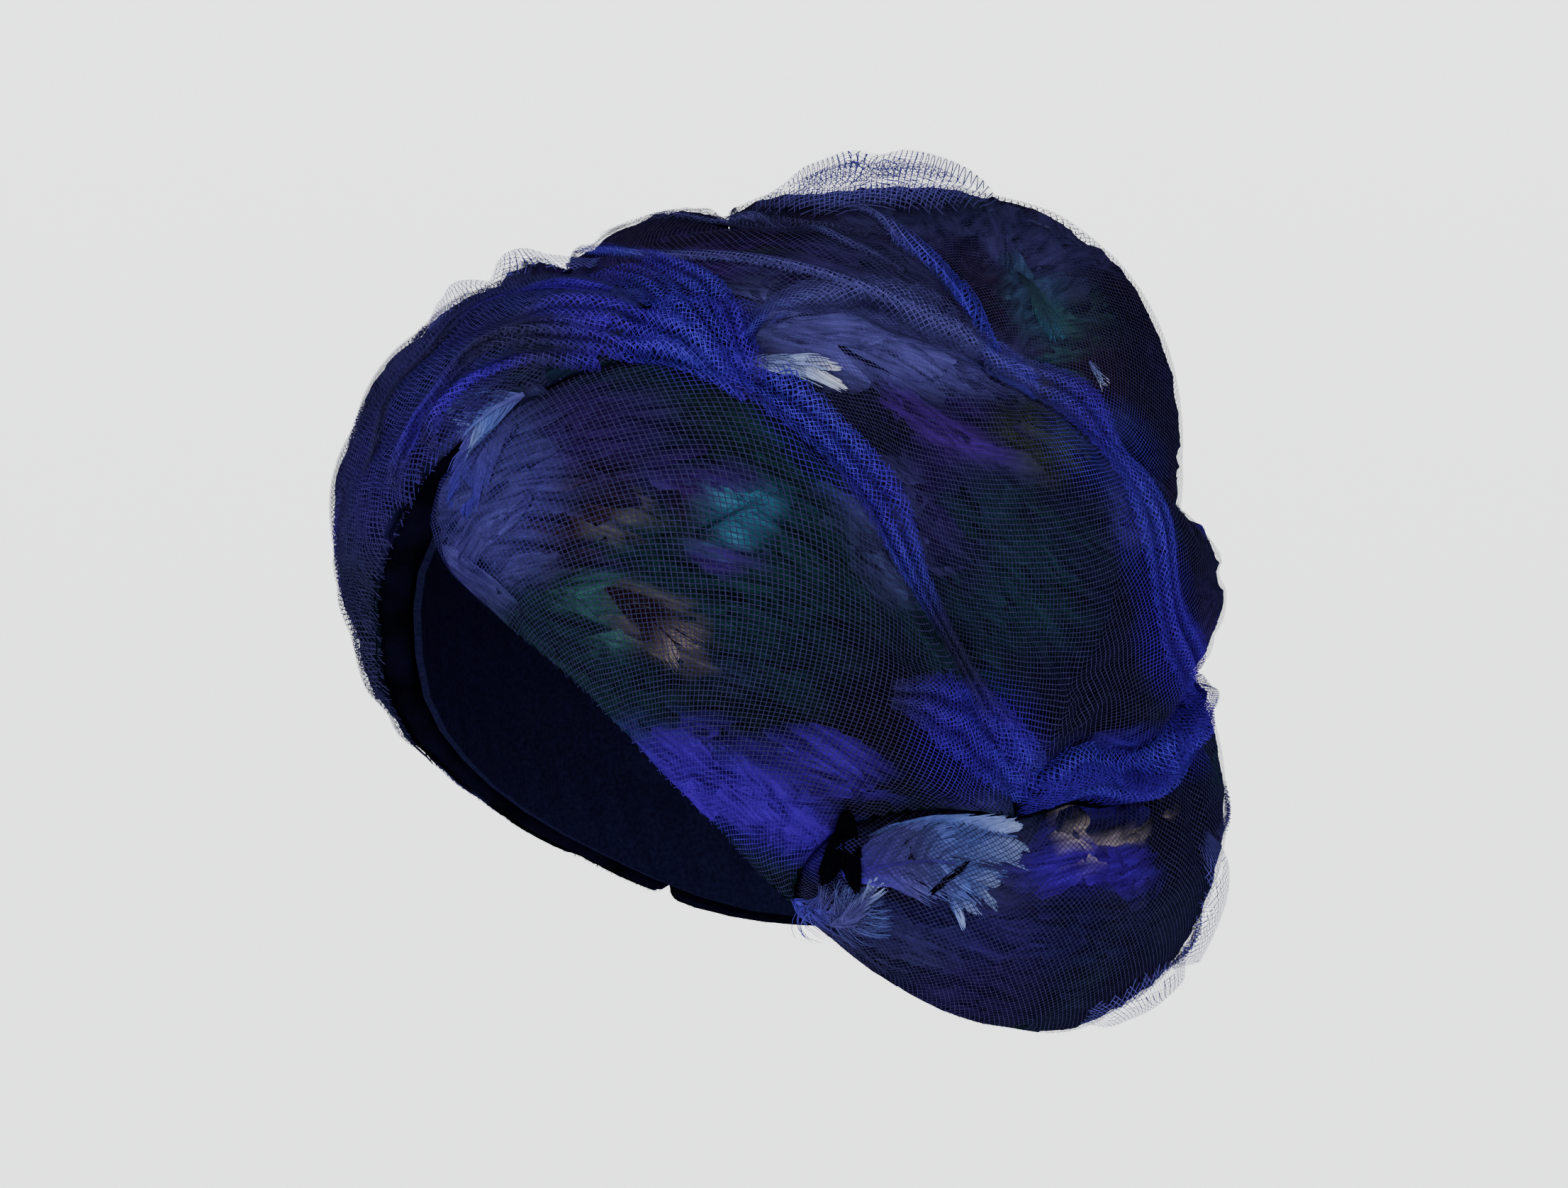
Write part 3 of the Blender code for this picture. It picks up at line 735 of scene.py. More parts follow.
# a closed pad: the grid's own points lie on the foundation, and the extruded ones are its face
class Pad:
    def __init__(self, fold):
        self.fold = fold
        self.wide = max(4, round(fold.width / padLooks["step"]))
        self.long = max(4, round(fold.length / padLooks["step"]))
        bm = gridMesh(self.long, self.wide)[0]
        made = bmesh.ops.extrude_face_region(bm, geom=list(bm.faces), use_keep_orig=True)
        face = [item for item in made["geom"] if isinstance(item, bmesh.types.BMVert)]
        bmesh.ops.translate(bm, verts=face, vec=(0, 0, 1))
        self.putInOrder(bm)
        bmesh.ops.recalc_face_normals(bm, faces=bm.faces)
        x, y, z = np.array([vert.co for vert in bm.verts]).T
        along, across, self.outer = (x + 1) / 2, (y + 1) / 2, z > 0.5
        self.column, self.row = np.rint(along * self.long), np.rint(across * self.wide)
        points = np.where(self.outer[:, None], fold.points(along, across, -padLooks["under"]),
                          fold.inner(along, across))
        flow = np.stack((along * fold.length, across * fold.width), axis=1) * mm
        self.mesh = settled(fold.name + "_pad", bm, points, flow=flow)

    # extruding leaves edges and faces in no fixed order, which the simulation would show; they are
    # sorted by x, then y, then z
    def putInOrder(self, bm):
        for parts in (bm.edges, bm.faces):
            parts.sort(key=lambda part: sum((v.co for v in part.verts), Vector()).dot((1e6, 1e3, 1)))

    # swells it by cloth simulation, held where it lies on the foundation and along its seams
    def swell(self, piece):
        start = meshPoints(self.mesh)
        rim = (self.column % self.long == 0) | (self.row % self.wide == 0)
        held = piece.vertex_groups.new(name="held")
        held.add(np.nonzero(rim | ~self.outer)[0].tolist(), 1.0, "REPLACE")
        cloth = piece.modifiers.new("cloth", "CLOTH")
        cloth.settings.vertex_group_mass = "held"
        cloth.settings.use_pressure = True
        cloth.settings.uniform_pressure_force = padLooks["pressure"]
        cloth.settings.shrink_min = padLooks["slack"]
        cloth.settings.effector_weights.gravity = 0
        cloth.point_cache.frame_end = padLooks["frames"]
        for number in range(1, padLooks["frames"] + 1):
            bpy.context.scene.frame_set(number)
        shape = piece.evaluated_get(bpy.context.evaluated_depsgraph_get())
        move = meshPoints(shape.to_mesh()) - start
        shape.to_mesh_clear()
        piece.modifiers.remove(cloth)
        bpy.context.scene.frame_set(1)
        reach = np.linalg.norm(move, axis=1, keepdims=True)
        move *= np.minimum(1, padLooks["swell"] * mm / np.maximum(reach, 1e-9))
        self.mesh.vertices.foreach_set("co", (start + move).astype(np.float32).ravel())
        self.mesh.update()
        order = np.lexsort((self.column[self.outer], self.row[self.outer]))
        moves = move[self.outer][order].reshape(self.wide + 1, self.long + 1, 3)
        self.fold.move = moves.swapaxes(0, 1)


def meshPoints(mesh):
    return readAll(mesh.vertices, "co", 3).astype(float)


def makePad(fold, material):
    shape = Pad(fold)
    pad = makePiece(fold.name + "_pad", shape.mesh, material)
    shape.swell(pad)
    finer = pad.modifiers.new("finer", "SUBSURF")
    finer.levels = finer.render_levels = 1
    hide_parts(fold.name)
    return pad


padMaterial = padFinish()
pads = {name: makePad(fold, padMaterial) for name, fold in folds.items()}
print("the folds are padded")


# what lies on the pads is placed by rays onto them; the list names each face's pad
def padTree():
    joined = bmesh.new()
    owners = []
    graph = bpy.context.evaluated_depsgraph_get()
    for pad in pads.values():
        shape = pad.evaluated_get(graph)
        joined.from_mesh(shape.to_mesh())
        shape.to_mesh_clear()
        owners += [pad.name] * (len(joined.faces) - len(owners))
    joined.faces.index_update()
    tree = BVHTree.FromBMesh(joined)
    joined.free()
    return tree, owners


hatSurface, faceOwners = padTree()


# the pads that carry a piece: each that lies under a fifth of it or more
def carriers(piece):
    sample = list(piece.data.vertices)[::60]
    under = [faceOwners[hatSurface.find_nearest(vertex.co)[2]] for vertex in sample]
    return [name for name in sorted(set(under)) if under.count(name) * 5 >= len(under)]


def hitPixel(pixel):
    place, heading = photoRay(pixel)
    point, normal = hatSurface.ray_cast(place, heading)[:2]
    if point is None:
        point, normal = hatSurface.find_nearest(place + heading * photo["distance"])[:2]
    return np.array(point), np.array(normal)


# lowers points onto the pads, against the headings, from reach metres above them
def lowered(points, headings, reach=0.03):
    landed = points.copy()
    for index, (point, heading) in enumerate(zip(points, headings)):
        hit = hatSurface.ray_cast(Vector(point + heading * reach), Vector(-heading), reach * 1.6)[0]
        if hit is not None:
            landed[index] = hit
    return landed


# Feathers

# what the photo shows: middle, half sizes and turn in its pixels and degrees, colour, strength
plumageMarks = [
    ((1098, 404), (42, 24), -18, "teal", 0.8),
    ((1085, 440), (32, 12), 10, "violet", 0.7),
    ((1072, 376), (38, 16), -8, "violet", 0.6),
    ((1060, 410), (22, 34), 0, "plum", 0.9),
    ((985, 482), (32, 22), 35, "green", 0.8),
    ((1030, 428), (40, 20), 20, "pine", 0.9),
    ((1036, 492), (40, 16), 35, "tan", 0.2),
    ((1020, 412), (16, 8), 40, "tan", 0.15),
    ((978, 405), (28, 50), 30, "umber", 0.9),
    ((912, 400), (50, 74), 10, "slate", 0.5),
    ((1000, 330), (60, 40), 20, "violet", 0.3),
    ((1110, 634), (90, 34), 28, "ultramarine", 1.0),
    ((1180, 608), (46, 24), 10, "ultramarine", 0.9),
    ((1283, 338), (64, 18), 28, "violet", 1.0),
    ((1358, 340), (34, 40), 40, "moss", 0.9),
    ((1335, 440), (40, 80), -28, "pine", 0.9),
    ((1290, 500), (50, 60), -20, "pine", 0.7),
    ((1225, 420), (34, 60), -25, "slate", 0.3),
    ((1225, 268), (110, 28), 14, "slate", 0.9),
    ((1350, 240), (24, 42), -20, "teal", 0.3),
    ((1372, 262), (14, 22), -20, "green", 0.6),
    ((1240, 165), (60, 18), 0, "slate", 0.25),
    ((1345, 185), (60, 34), 20, "slate", 0.3),
    ((960, 290), (120, 22), -8, "pine", 0.5),
    ((1070, 205), (120, 14), 0, "violet", 0.4),
    ((1385, 690), (46, 24), 0, "ultramarine", 1.0),
    ((1404, 658), (32, 15), 0, "tan", 1.0),
    ((1290, 740), (100, 26), 8, "cobalt", 0.1),
    ((1222, 750), (56, 20), 12, "slate", 0.2),
    ((1400, 610), (60, 20), -10, "royal", 0.5),
]

# each fold's two ground colours, and how its feathers lie: turn in degrees from the fold's own
# run, length and half width in mm
plumage = {
    "front_fold": ("ink navy", 4, 38, 8),
    "left_side_panel": ("ink pine", 24, 40, 9),
    "back_sweep_band": ("ink navy", 12, 38, 8),
    "upper_band": ("ink plum", 5, 36, 8),
    "crown_dome": ("ink plum", 20, 38, 8),
    "right_side_band": ("ink navy", 8, 38, 8),
    "nape_pouf": ("ink navy", 0, 40, 9),
}

featherShape = {
    "alongGap": 13,      # mm between roots along and across a fold
    "acrossGap": 8,
    "steps": 7,
    "across": 4,
    "jitter": 11,        # degrees
    "alongStray": 3,     # mm
    "acrossStray": 1.5,
    "markStray": 7,      # pixels
    "sizes": (0.8, 1.2),
    "rootLift": 0.2,     # mm over the pad
    "tipLift": 1.1,
    "depthLift": 0.25,   # mm between the lowest feathers and the highest
    "camber": 0.7,
    "bow": 2.5,          # mm that a feather bends sideways
    "sweep": 3,          # mm that its edges lie behind its middle
    "margin": (0.004, 0.01),   # shares of the fold left bare along and across
}

# colours that come and go over the feathers: the waves' seed, the dye and the least wave
plumageClouds = ((21, "pine", 0.25), (22, "violet", 0.45), (23, "green", 0.65), (24, "slate", 0.6))
cloudSizes = {"ground": 55, "clouds": 60}    # mm


def blend(first, second, share):
    return first + (second - first) * np.reshape(share, (-1, 1))


def facesPhoto(points):
    eye = np.array(photoAxes()[0])
    return (unit(eye - points) * unit(points)).sum(axis=1) > -0.1


# lays marks over colours where the photo shows the points, moved by a few pixels
def marked(tint, points, marks, shift=0):
    facing = facesPhoto(points)
    pixels = photoPixels(points) + shift
    for middle, (halfLong, halfShort), turn, name, strength in marks:
        a = math.radians(turn)
        away = pixels - middle
        x = (away[:, 0] * math.cos(a) + away[:, 1] * math.sin(a)) / halfLong
        y = (away[:, 1] * math.cos(a) - away[:, 0] * math.sin(a)) / halfShort
        share = np.clip((1.3 - np.hypot(x, y)) / 0.6, 0, 1) * strength
        tint = blend(tint, dye(name), share * facing)
    return tint


# one colour for every point
def plain(name, points):
    return np.tile(dye(name), (len(points), 1))


# the colour of places on the feathers, with stronger clouds where the photo doesn't show them
def plumageTint(colours, points, shift):
    ground, other = colours.split()
    slow = np.clip(0.5 + 0.9 * waves(points, cloudSizes["ground"], 11), 0, 1)
    tint = blend(plain(ground, points), dye(other), slow)
    strength = 0.22 + 0.35 * ~facesPhoto(points)
    for seed, name, least in plumageClouds:
        share = np.clip((waves(points, cloudSizes["clouds"], seed) - least) / 0.4, 0, 1) * strength
        tint = blend(tint, dye(name), share)
    return marked(tint, points, plumageMarks, shift)


def featherFinish():
    finish = Finish("iridescent_feather", Roughness=0.5, Specular_IOR_Level=0.0)
    barbs = finish.noise(finish.flow((70, 900, 1)), 1.0, 3.0, 0.6)
    broad = finish.noise(finish.flow((50, 260, 1)), 1.0, 2.0)
    cloud = finish.noise(finish.place(), 45.0, 2.0)
    light = finish.ramp(barbs * 0.5 + broad * 0.5, 0.38, 0.64, (0.3, 2.4))
    shade = finish.mix(1.0, finish.tint(), light, "MULTIPLY")
    warm = finish.mix(finish.ramp(cloud, 0.5, 0.75) * 0.15, shade, (*dye("umber"), 1))
    rough = finish.ramp(broad, 0.3, 0.7, (0.36, 0.62))
    return finish.end(Base_Color=warm, Roughness=rough, Normal=finish.bump(barbs, 0.5, 0.0005))


# places for the feathers' roots: along, across, lean, size, depth (which lifts a feather and sets its
# painted shade), and the shift of their marks
def featherRoots(fold, random):
    shape = featherShape
    roots = []
    for row in range(-2, round(fold.length / shape["alongGap"])):
        along = (row + 0.5) * shape["alongGap"] / fold.length
        count = max(2, round(fold.widthAt(max(along, 0)) / shape["acrossGap"]))
        for place in range(count):
            across = (place + (0.5 if row % 2 else 0.15)) / count
            roots.append((along + random.normal() * shape["alongStray"] / fold.length,
                          across + random.normal() * shape["acrossStray"] / fold.width,
                          random.normal(), random.uniform(*shape["sizes"]), random.uniform(0, 1),
                          *random.normal(0, shape["markStray"], 2)))
    return np.array(roots)


# vanes laid like shingles over a fold, tips over the next ones' roots
def layFeathers(fold, material, seed):
    shape = featherShape
    colours, turn, longest, widest = plumage[fold.name]
    roots = featherRoots(fold, np.random.default_rng(seed))
    bm, s, number, t = stripMesh(len(roots), shape["steps"], shape["across"])
    t = t * 2 - 1
    rootAlong, rootAcross, lean, size, depth, *shift = roots[number].T
    heading = np.radians(turn + lean * shape["jitter"])
    ending = 1 - ((s - 0.55) / 0.47).clip(0) ** 2
    profile = np.clip(s / 0.3, 0.15, 1) ** 0.7 * np.sqrt(np.clip(ending, 0.01, 1))
    forward = s * (longest * size) - shape["sweep"] * t ** 2
    sideways = t * (widest * (0.6 + 0.4 * size)) * profile + shape["bow"] * np.sin(s * 3) * lean
    along = rootAlong + (forward * np.cos(heading) - sideways * np.sin(heading)) / fold.length
    turned = forward * np.sin(heading) + sideways * np.cos(heading)
    across = rootAcross + turned / np.maximum(fold.widthAt(np.clip(along, 0, 1)), 12)
    lift = shape["rootLift"] + shape["tipLift"] * s + shape["depthLift"] * depth
    lift = lift + shape["camber"] * (1 - np.abs(t)) ** 1.5
    along, across = (np.clip(value, margin, 1 - margin)
                     for value, margin in zip((along, across), shape["margin"]))
    points = fold.dressed(along, across, lift)
    # painted shade: feathers that lie lower in the stack, under the others, are painted darker
    tint = plumageTint(colours, points, np.stack(shift, axis=1)) * (0.75 + 0.5 * depth)[:, None]
    flow = np.stack((forward + number * 3.7, sideways + number * 17.3), axis=1) * mm
    mesh = settled(fold.name + "_feathers", bm, points, tint, flow)
    makePiece(fold.name + "_feathers", mesh, material)


featherMaterial = featherFinish()
for index, name in enumerate(plumage):
    layFeathers(folds[name], featherMaterial, 100 + index)
print("the feathers are laid")


# Net

netLooks = {
    "pitch": 1.25,       # mm between threads
    "thread": 0.21,      # mm wide
    "step": 3.0,         # mm between the points of a thread
    "cover": 0.31,       # threads' own share of the sheet
    "lift": 2.6,         # mm over the pads
    "edgeLift": 1.4,
    "tuck": 5.0,         # mm from a fold's edge over which its net sinks to edgeLift
    "layerLift": 0.35,   # mm between two layers
    "crossLift": 0.12,   # mm between the threads of one way and the other
    "layerTurn": 11,     # degrees between a veil's layers
    "gatherTurns": (36, 17),   # a gather's first turn, and degrees between its layers
    "narrowest": 0.0101,       # metres, the least width of a cut
}

# each fold's veil: the threads' turn, how far they draw together where it narrows, layers
veils = {
    "front_fold": (42, 0.75, 2),
    "left_side_panel": (44, 0.25, 1),
    "back_sweep_band": (38, 0.6, 1),
    "upper_band": (25, 0.7, 1),
    "crown_dome": (40, 0.2, 1),
    "right_side_band": (38, 0.6, 1),
    "nape_pouf": (40, 0.3, 1),
    "pouf_ruffle": (38, 0.8, 2),
    "gathered_knot": (30, 0.8, 1),
}

# where the net's threads show brighter: as the plumage's marks
netMarks = [
    ((1068, 262), (46, 34), 30, "royal", 0.9),
    ((1000, 232), (90, 18), 0, "cobalt", 0.3),
    ((1400, 350), (50, 34), 40, "cobalt", 0.6),
    ((1440, 440), (24, 70), -16, "royal", 0.8),
    ((1458, 520), (26, 44), -20, "royal", 0.9),
    ((1225, 268), (110, 28), 14, "slate", 0.9),
    ((1170, 350), (22, 70), -44, "royal", 0.7),
    ((1300, 590), (50, 50), 0, "royal", 0.9),
    ((1110, 640), (90, 30), 28, "royal", 0.8),
    ((912, 400), (50, 74), 10, "cobalt", 0.3),
    ((858, 330), (40, 100), 30, "royal", 0.3),
    ((1425, 605), (70, 24), -10, "royal", 0.8),
    ((1390, 690), (46, 22), 0, "ultramarine", 0.7),
]


def netFinish():
    finish = Finish("navy_tulle", Roughness=0.6, Specular_IOR_Level=0.0)
    fuzz = finish.ramp(finish.noise(finish.place(), 700.0, 2.0), 0.3, 0.7, (0.7, 1.3))
    return finish.end(Base_Color=finish.mix(1.0, finish.tint(), fuzz, "MULTIPLY"))


# threads both ways over a sheet of the place's size in mm; the place turns mm on the sheet
# into points and colours, and says which of them lie on it
def netMesh(name, turn, place):
    size, pitch = place.size, netLooks["pitch"]
    both = bmesh.new()
    kept = []
    reach = math.hypot(*size) / 2 if turn else max(size) / 2
    for quarter in (0, 90):
        strips = max(2, round(2 * reach / pitch))
        steps = max(2, round(2 * reach / min(netLooks["step"], min(size) / 6)))
        bm, s, number, t = stripMesh(strips, steps)
        x = (s - 0.5) * 2 * reach
        y = (number - (strips - 1) / 2) * pitch + (t - 0.5) * netLooks["thread"]
        a = math.radians(turn + quarter)
        u = size[0] / 2 + x * math.cos(a) - y * math.sin(a)
        v = size[1] / 2 + x * math.sin(a) + y * math.cos(a)
        inside = place.holds(u, v)
        bm.verts.ensure_lookup_table()
        bmesh.ops.delete(bm, geom=[bm.verts[i] for i in np.nonzero(~inside)[0]], context="VERTS")
        loose = [vert for vert in bm.verts if not vert.link_faces]
        bm.verts.index_update()
        places = np.delete(np.nonzero(inside)[0], [vert.index for vert in loose])
        bmesh.ops.delete(bm, geom=loose, context="VERTS")
        part = bpy.data.meshes.new("threads")
        bm.to_mesh(part)
        bm.free()
        both.from_mesh(part)
        bpy.data.meshes.remove(part)
        over = np.full(len(places), netLooks["crossLift"] * (quarter > 0))
        kept.append(np.stack((u[places], v[places], over), axis=1))
    u, v, over = np.concatenate(kept).T
    points = place.points(u, v, over)
    return settled(name, both, points, place.tint(points, u, v), np.stack((u, v), axis=1) * mm)


# a veil's place on its fold
class Veil:
    def __init__(self, fold, gather, lift, ground):
        self.fold, self.gather, self.lift, self.ground = fold, gather, lift, ground
        self.size = (fold.length, fold.width)

    def shares(self, u, v):
        along = u / self.fold.length
        width = self.fold.widthAt(np.clip(along, 0, 1))
        width = width + (self.fold.width - width) * self.gather
        return along, 0.5 + (v - self.fold.width / 2) / np.maximum(width, 6)

    def holds(self, u, v):
        along, across = self.shares(u, v)
        return (along > 0.001) & (along < 0.999) & (across > 0.001) & (across < 0.999)

    def points(self, u, v, over):
        along, across = self.shares(u, v)
        inward = np.clip(self.fold.fromEdge(along, across) / netLooks["tuck"], 0, 1)
        lift = netLooks["edgeLift"] + (self.lift - netLooks["edgeLift"]) * inward
        return self.fold.dressed(along, across, lift + over)

    def tint(self, points, u, v):
        return marked(plain(self.ground, points), points, netMarks)


# makes a piece of net in the net's material, looks up the pads that carry it, and prints its count of
# faces
def makeNet(name, mesh):
    piece = makePiece(name, mesh, netMaterial)
    carriers(piece)
    print(f"{name}: {len(mesh.polygons)} faces")
    return piece


netMaterial = netFinish()


def layVeils():
    for name, (turn, gather, layers) in veils.items():
        ground = "thread" if name in plumage else "royal"
        for layer in range(layers):
            veil = Veil(folds[name], gather, netLooks["lift"] + netLooks["layerLift"] * layer, ground)
            title = f"{name}_net" + (f"_{layer + 1}" if layer else "")
            makeNet(title, netMesh(title, turn + netLooks["layerTurn"] * layer, veil))


layVeils()


# Strips of the hat's surface, for what lies across its folds

hatMiddle = np.array((0, 4, 0)) * mm
hatRadii = np.array((100, 118, 115)) * mm


def outwardAt(points):
    return unit((points - hatMiddle) / hatRadii ** 2)


# u runs in mm along a line over the hat, and v across it from its middle
class Strip:
    def __init__(self, line, halfWidth, loosen=1, steps=30, across=10):
        run = runOf(line)
        self.length, self.halfWidth = run[-1] / mm, halfWidth
        places = np.linspace(0, run[-1], steps + 1)
        centre = np.stack([np.interp(places, run, line[:, k]) for k in range(3)], axis=1)
        outward = outwardAt(centre)
        side = unit(np.cross(outward, np.gradient(centre, axis=0)))
        offsets = np.linspace(-halfWidth, halfWidth, across + 1) * mm
        grid = centre[:, None] + side[:, None] * offsets[None, :, None]
        self.outward = np.repeat(outward[:, None], across + 1, axis=1)
        flat = lowered(grid.reshape(-1, 3), self.outward.reshape(-1, 3))
        self.grid = grid = flat.reshape(steps + 1, across + 1, 3)
        for smoothing in range(loosen):
            grid[1:-1] = (grid[:-2] + 2 * grid[1:-1] + grid[2:]) / 4
            grid[:, 1:-1] = (grid[:, :-2] + 2 * grid[:, 1:-1] + grid[:, 2:]) / 4

    def at(self, u, v, lift):
        rows, columns = self.grid.shape[0] - 1, self.grid.shape[1] - 1
        x = np.clip(u / self.length, 0, 1) * rows
        y = np.clip(0.5 + v / self.halfWidth / 2, 0, 1) * columns
        outward = unit(between(self.outward, x, y))
        return between(self.grid, x, y) + outward * np.reshape(lift, (-1, 1)) * mm


# the line of a strip: points in the photo's pixels, a seam and its height over the block in mm,
# or a fold and two places on it
def lineOf(course):
    if isinstance(course, list):
        return throughPoints(np.array([hitPixel(pixel)[0] for pixel in course]))
    if len(course) == 2:
        return standOff(Line(course[0]).at(np.linspace(0, 1, 60)), course[1])
    along, across = (np.linspace(*ends, 50) for ends in zip(*course[1:]))
    return folds[course[0]].points(along, across + 0.03 * np.sin(9 * along), 0)


# gathered net that lies across the folds: layers, how far it stands up in mm, pleats, widths in
# mm and colours along it, and its line
netGathers = {
    "knot_twist": (1, 2.6, 3, (8, 12, 13, 11, 8), "thread royal cobalt cobalt royal",
        [(960, 220), (1016, 222), (1058, 238), (1086, 264), (1116, 306)]),
    "knot_wrap": (2, 1.6, 2, (9, 11, 11, 10, 8), "thread royal royal cobalt royal",
        [(936, 250), (996, 245), (1046, 256), (1080, 278), (1110, 308)]),
    "knot_lower": (3, 1.4, 2, (5, 6, 7, 8, 8), "thread thread royal cobalt royal",
        [(900, 276), (957, 266), (1020, 278), (1066, 290), (1120, 314)]),
    "knot_over": (2, 1.8, 2, (3, 6, 9, 9, 7), "thread royal cobalt royal royal",
        [(1024, 204), (1062, 216), (1094, 240), (1112, 272), (1126, 306)]),
    "front_line_upper": (4, 0.7, 1, (6, 5, 4, 4, 4), "royal royal thread thread thread",
        [(1012, 232), (948, 232), (890, 254), (844, 304), (816, 376)]),
    "front_line_lower": (4, 0.8, 1, (6, 5, 4, 5, 4), "royal thread thread royal thread",
        [(1010, 262), (950, 258), (898, 282), (862, 326), (842, 390)]),
    "sweep_ridge": (2, 1.6, 3, (11, 15, 11, 14, 8, 5, 6, 12, 14),
        "royal cobalt cobalt royal cobalt thread thread royal royal",
        [(1096, 288), (1128, 308), (1160, 334), (1190, 360), (1216, 396), (1238, 446), (1266, 500),
         (1300, 560), (1344, 622)]),
    "panel_corner": (2, 0.8, 3, (6, 20, 22, 12), "thread royal royal cobalt",
        [(1226, 548), (1262, 556), (1304, 584), (1342, 624)]),
    "sweep_rear": (2, 1.4, 3, (8, 18, 20, 15, 17, 14), "slate royal cobalt royal royal royal",
        [(1326, 294), (1376, 326), (1416, 372), (1440, 430), (1452, 500), (1466, 548)]),
    "sweep_shoulder": (2, 1.0, 2, (5, 14, 20, 16, 8), "cobalt slate slate slate cobalt",
        [(1110, 270), (1150, 246), (1210, 244), (1276, 268), (1344, 312)]),
    "crown_edge": (4, 0.7, 1, (3, 4, 4, 4, 4), "thread slate slate cobalt cobalt",
        [(1120, 152), (1180, 165), (1235, 190), (1285, 235), (1312, 282)]),
    "band_crease": (4, 1.0, 1, (3, 4, 5, 4, 4), "thread cobalt slate slate slate",
        [(975, 214), (1030, 204), (1090, 205), (1160, 214), (1225, 236), (1290, 268)]),
    "band_line": (4, 0.6, 1, (3, 4, 4, 4, 3), "thread slate thread slate thread",
        [(1000, 186), (1060, 172), (1120, 172), (1180, 186), (1240, 216)]),
    "front_edge": (3, 1.2, 1, (3, 5, 5, 4, 4), "thread royal royal thread royal",
        [(866, 356), (876, 322), (905, 298), (950, 284), (1000, 286)]),
    "ruffle_frill": (2, 2.4, 2, (10, 13, 12, 12, 10, 6), "royal cobalt royal cobalt royal royal",
        [(1340, 624), (1374, 606), (1404, 612), (1434, 614), (1460, 594), (1482, 560)]),
    "nape_puff": (1, 5.5, 0, (6, 20, 24, 6), "haze haze",
        [(1470, 660), (1482, 700), (1484, 740), (1462, 775)]),
    "corner_puff": (1, 5.0, 0, (6, 18, 20, 6), "haze haze",
        [(1378, 802), (1410, 790), (1440, 772), (1462, 748)]),
    "brow_puff": (1, 5.0, 0, (4, 12, 15, 12, 4), "haze haze",
        [(868, 264), (892, 240), (926, 222), (966, 214), (1004, 208)]),
    "side_ridge": (2, 1.2, 3, (4, 7, 9, 8, 6), "thread royal cobalt royal thread", ("foldSide", 14)),
    "band_ridge": (2, 1.0, 2, (4, 6, 7, 6, 6), "thread slate royal slate royal",
        ("bandTop bandRear", 14)),
    "side_line_low": (3, 0.9, 2, (4, 6, 4, 5, 6, 4, 5), "thread royal thread slate royal thread",
        ("front_fold", (0.24, 0.24), (0.97, 0.18))),
    "side_line_middle": (3, 0.9, 2, (4, 4, 6, 4, 6, 5, 4), "thread slate royal thread thread royal",
        ("front_fold", (0.24, 0.47), (0.97, 0.44))),
    "side_line_high": (3, 0.9, 2, (4, 6, 5, 4, 5, 6, 4), "thread royal slate thread royal thread",
        ("front_fold", (0.24, 0.72), (0.97, 0.78))),
    "band_side_line": (3, 0.8, 2, (4, 5, 4, 6, 4), "thread slate thread royal thread",
        ("right_side_band", (0.1, 0.55), (0.96, 0.45))),
    "nape_line_high": (3, 0.8, 2, (4, 6, 5, 4, 5), "thread royal thread slate thread",
        ("nape_pouf", (0.38, 0.66), (0.95, 0.6))),
    "nape_line_low": (3, 0.8, 2, (4, 5, 5, 4, 5), "thread thread royal thread thread",
        ("nape_pouf", (0.3, 0.3), (0.92, 0.36))),
    "crown_ridge": (2, 0.9, 2, (4, 5, 7, 7, 6, 4), "slate thread thread thread thread", ("crown", 12)),
    "tail_ridge": (2, 1.2, 3, (8, 11, 9, 7, 5), "cobalt royal royal thread thread", ("tailFoot", 14)),
}


# a value for each place along, on straight stretches between evenly spaced ones, rounded off
def spread(values, along):
    table = np.array(values, float).reshape(len(values), -1)
    stops = np.linspace(0, 1, len(values))
    reach = 0.25 / len(values)
    return sum(np.stack([np.interp(along + move, stops, column) for column in table.T], axis=1)
               for move in (-reach, 0, reach)) / 3


class Gather(Strip):
    def __init__(self, layer, rise, pleats, widths, colours, course):
        super().__init__(lineOf(course), max(widths) / 2, loosen=2)
        self.widths, self.rise, self.pleats, self.layer = widths, rise, pleats, layer
        self.colours = [dye(name) for name in colours.split()]
        self.size = (self.length, max(widths) * 1.15)

    def holds(self, u, v):
        return (u > 0) & (u < self.length) & (v > 0) & (v < self.size[1])

    # the pleats' height over the sheet, between -1 and 1
    def pleat(self, u, v):
        along, across = u / self.length, v / self.size[1]
        wander = 1.1 * np.sin(along * 9 + self.layer * 1.7) + 0.6 * np.sin(along * 23 + self.layer)
        return np.sin(2 * math.pi * self.pleats * across + wander) * np.sin(math.pi * across)

    def points(self, u, v, over):
        along, across = u / self.length, v / self.size[1]
        lift = self.rise * np.sin(math.pi * across) ** 0.7
        lift = lift * np.clip(np.sin(math.pi * along) * 2.2, 0.15, 1)
        lift += 0.8 * (self.pleats > 1) * self.pleat(u, v)
        lift += netLooks["lift"] + netLooks["layerLift"] * self.layer + over
        return self.at(u, (across - 0.5) * spread(self.widths, along)[:, 0], lift)

    def tint(self, points, u, v):
        tint = spread(self.colours, u / self.length)
        # painted shade in the pleats' valleys and painted highlight on their crests, following the
        # pleats' height
        return tint * (0.9 + 0.75 * (self.pleats > 0) * self.pleat(u, v))[:, None]


def joined(name, meshes):
    bm = bmesh.new()
    for mesh in meshes:
        bm.from_mesh(mesh)
        bpy.data.meshes.remove(mesh)
    whole = bpy.data.meshes.new(name)
    bm.to_mesh(whole)
    bm.free()
    whole.shade_smooth()
    return whole


for name, (count, *looks) in netGathers.items():
    places = [Gather(layer, *looks) for layer in range(count)]
    first, step = netLooks["gatherTurns"]
    layers = [netMesh(name, first + step * place.layer, place) for place in places]
    makeNet(name + "_net", joined(name + "_net", layers))
print("the net is gathered over the seams")


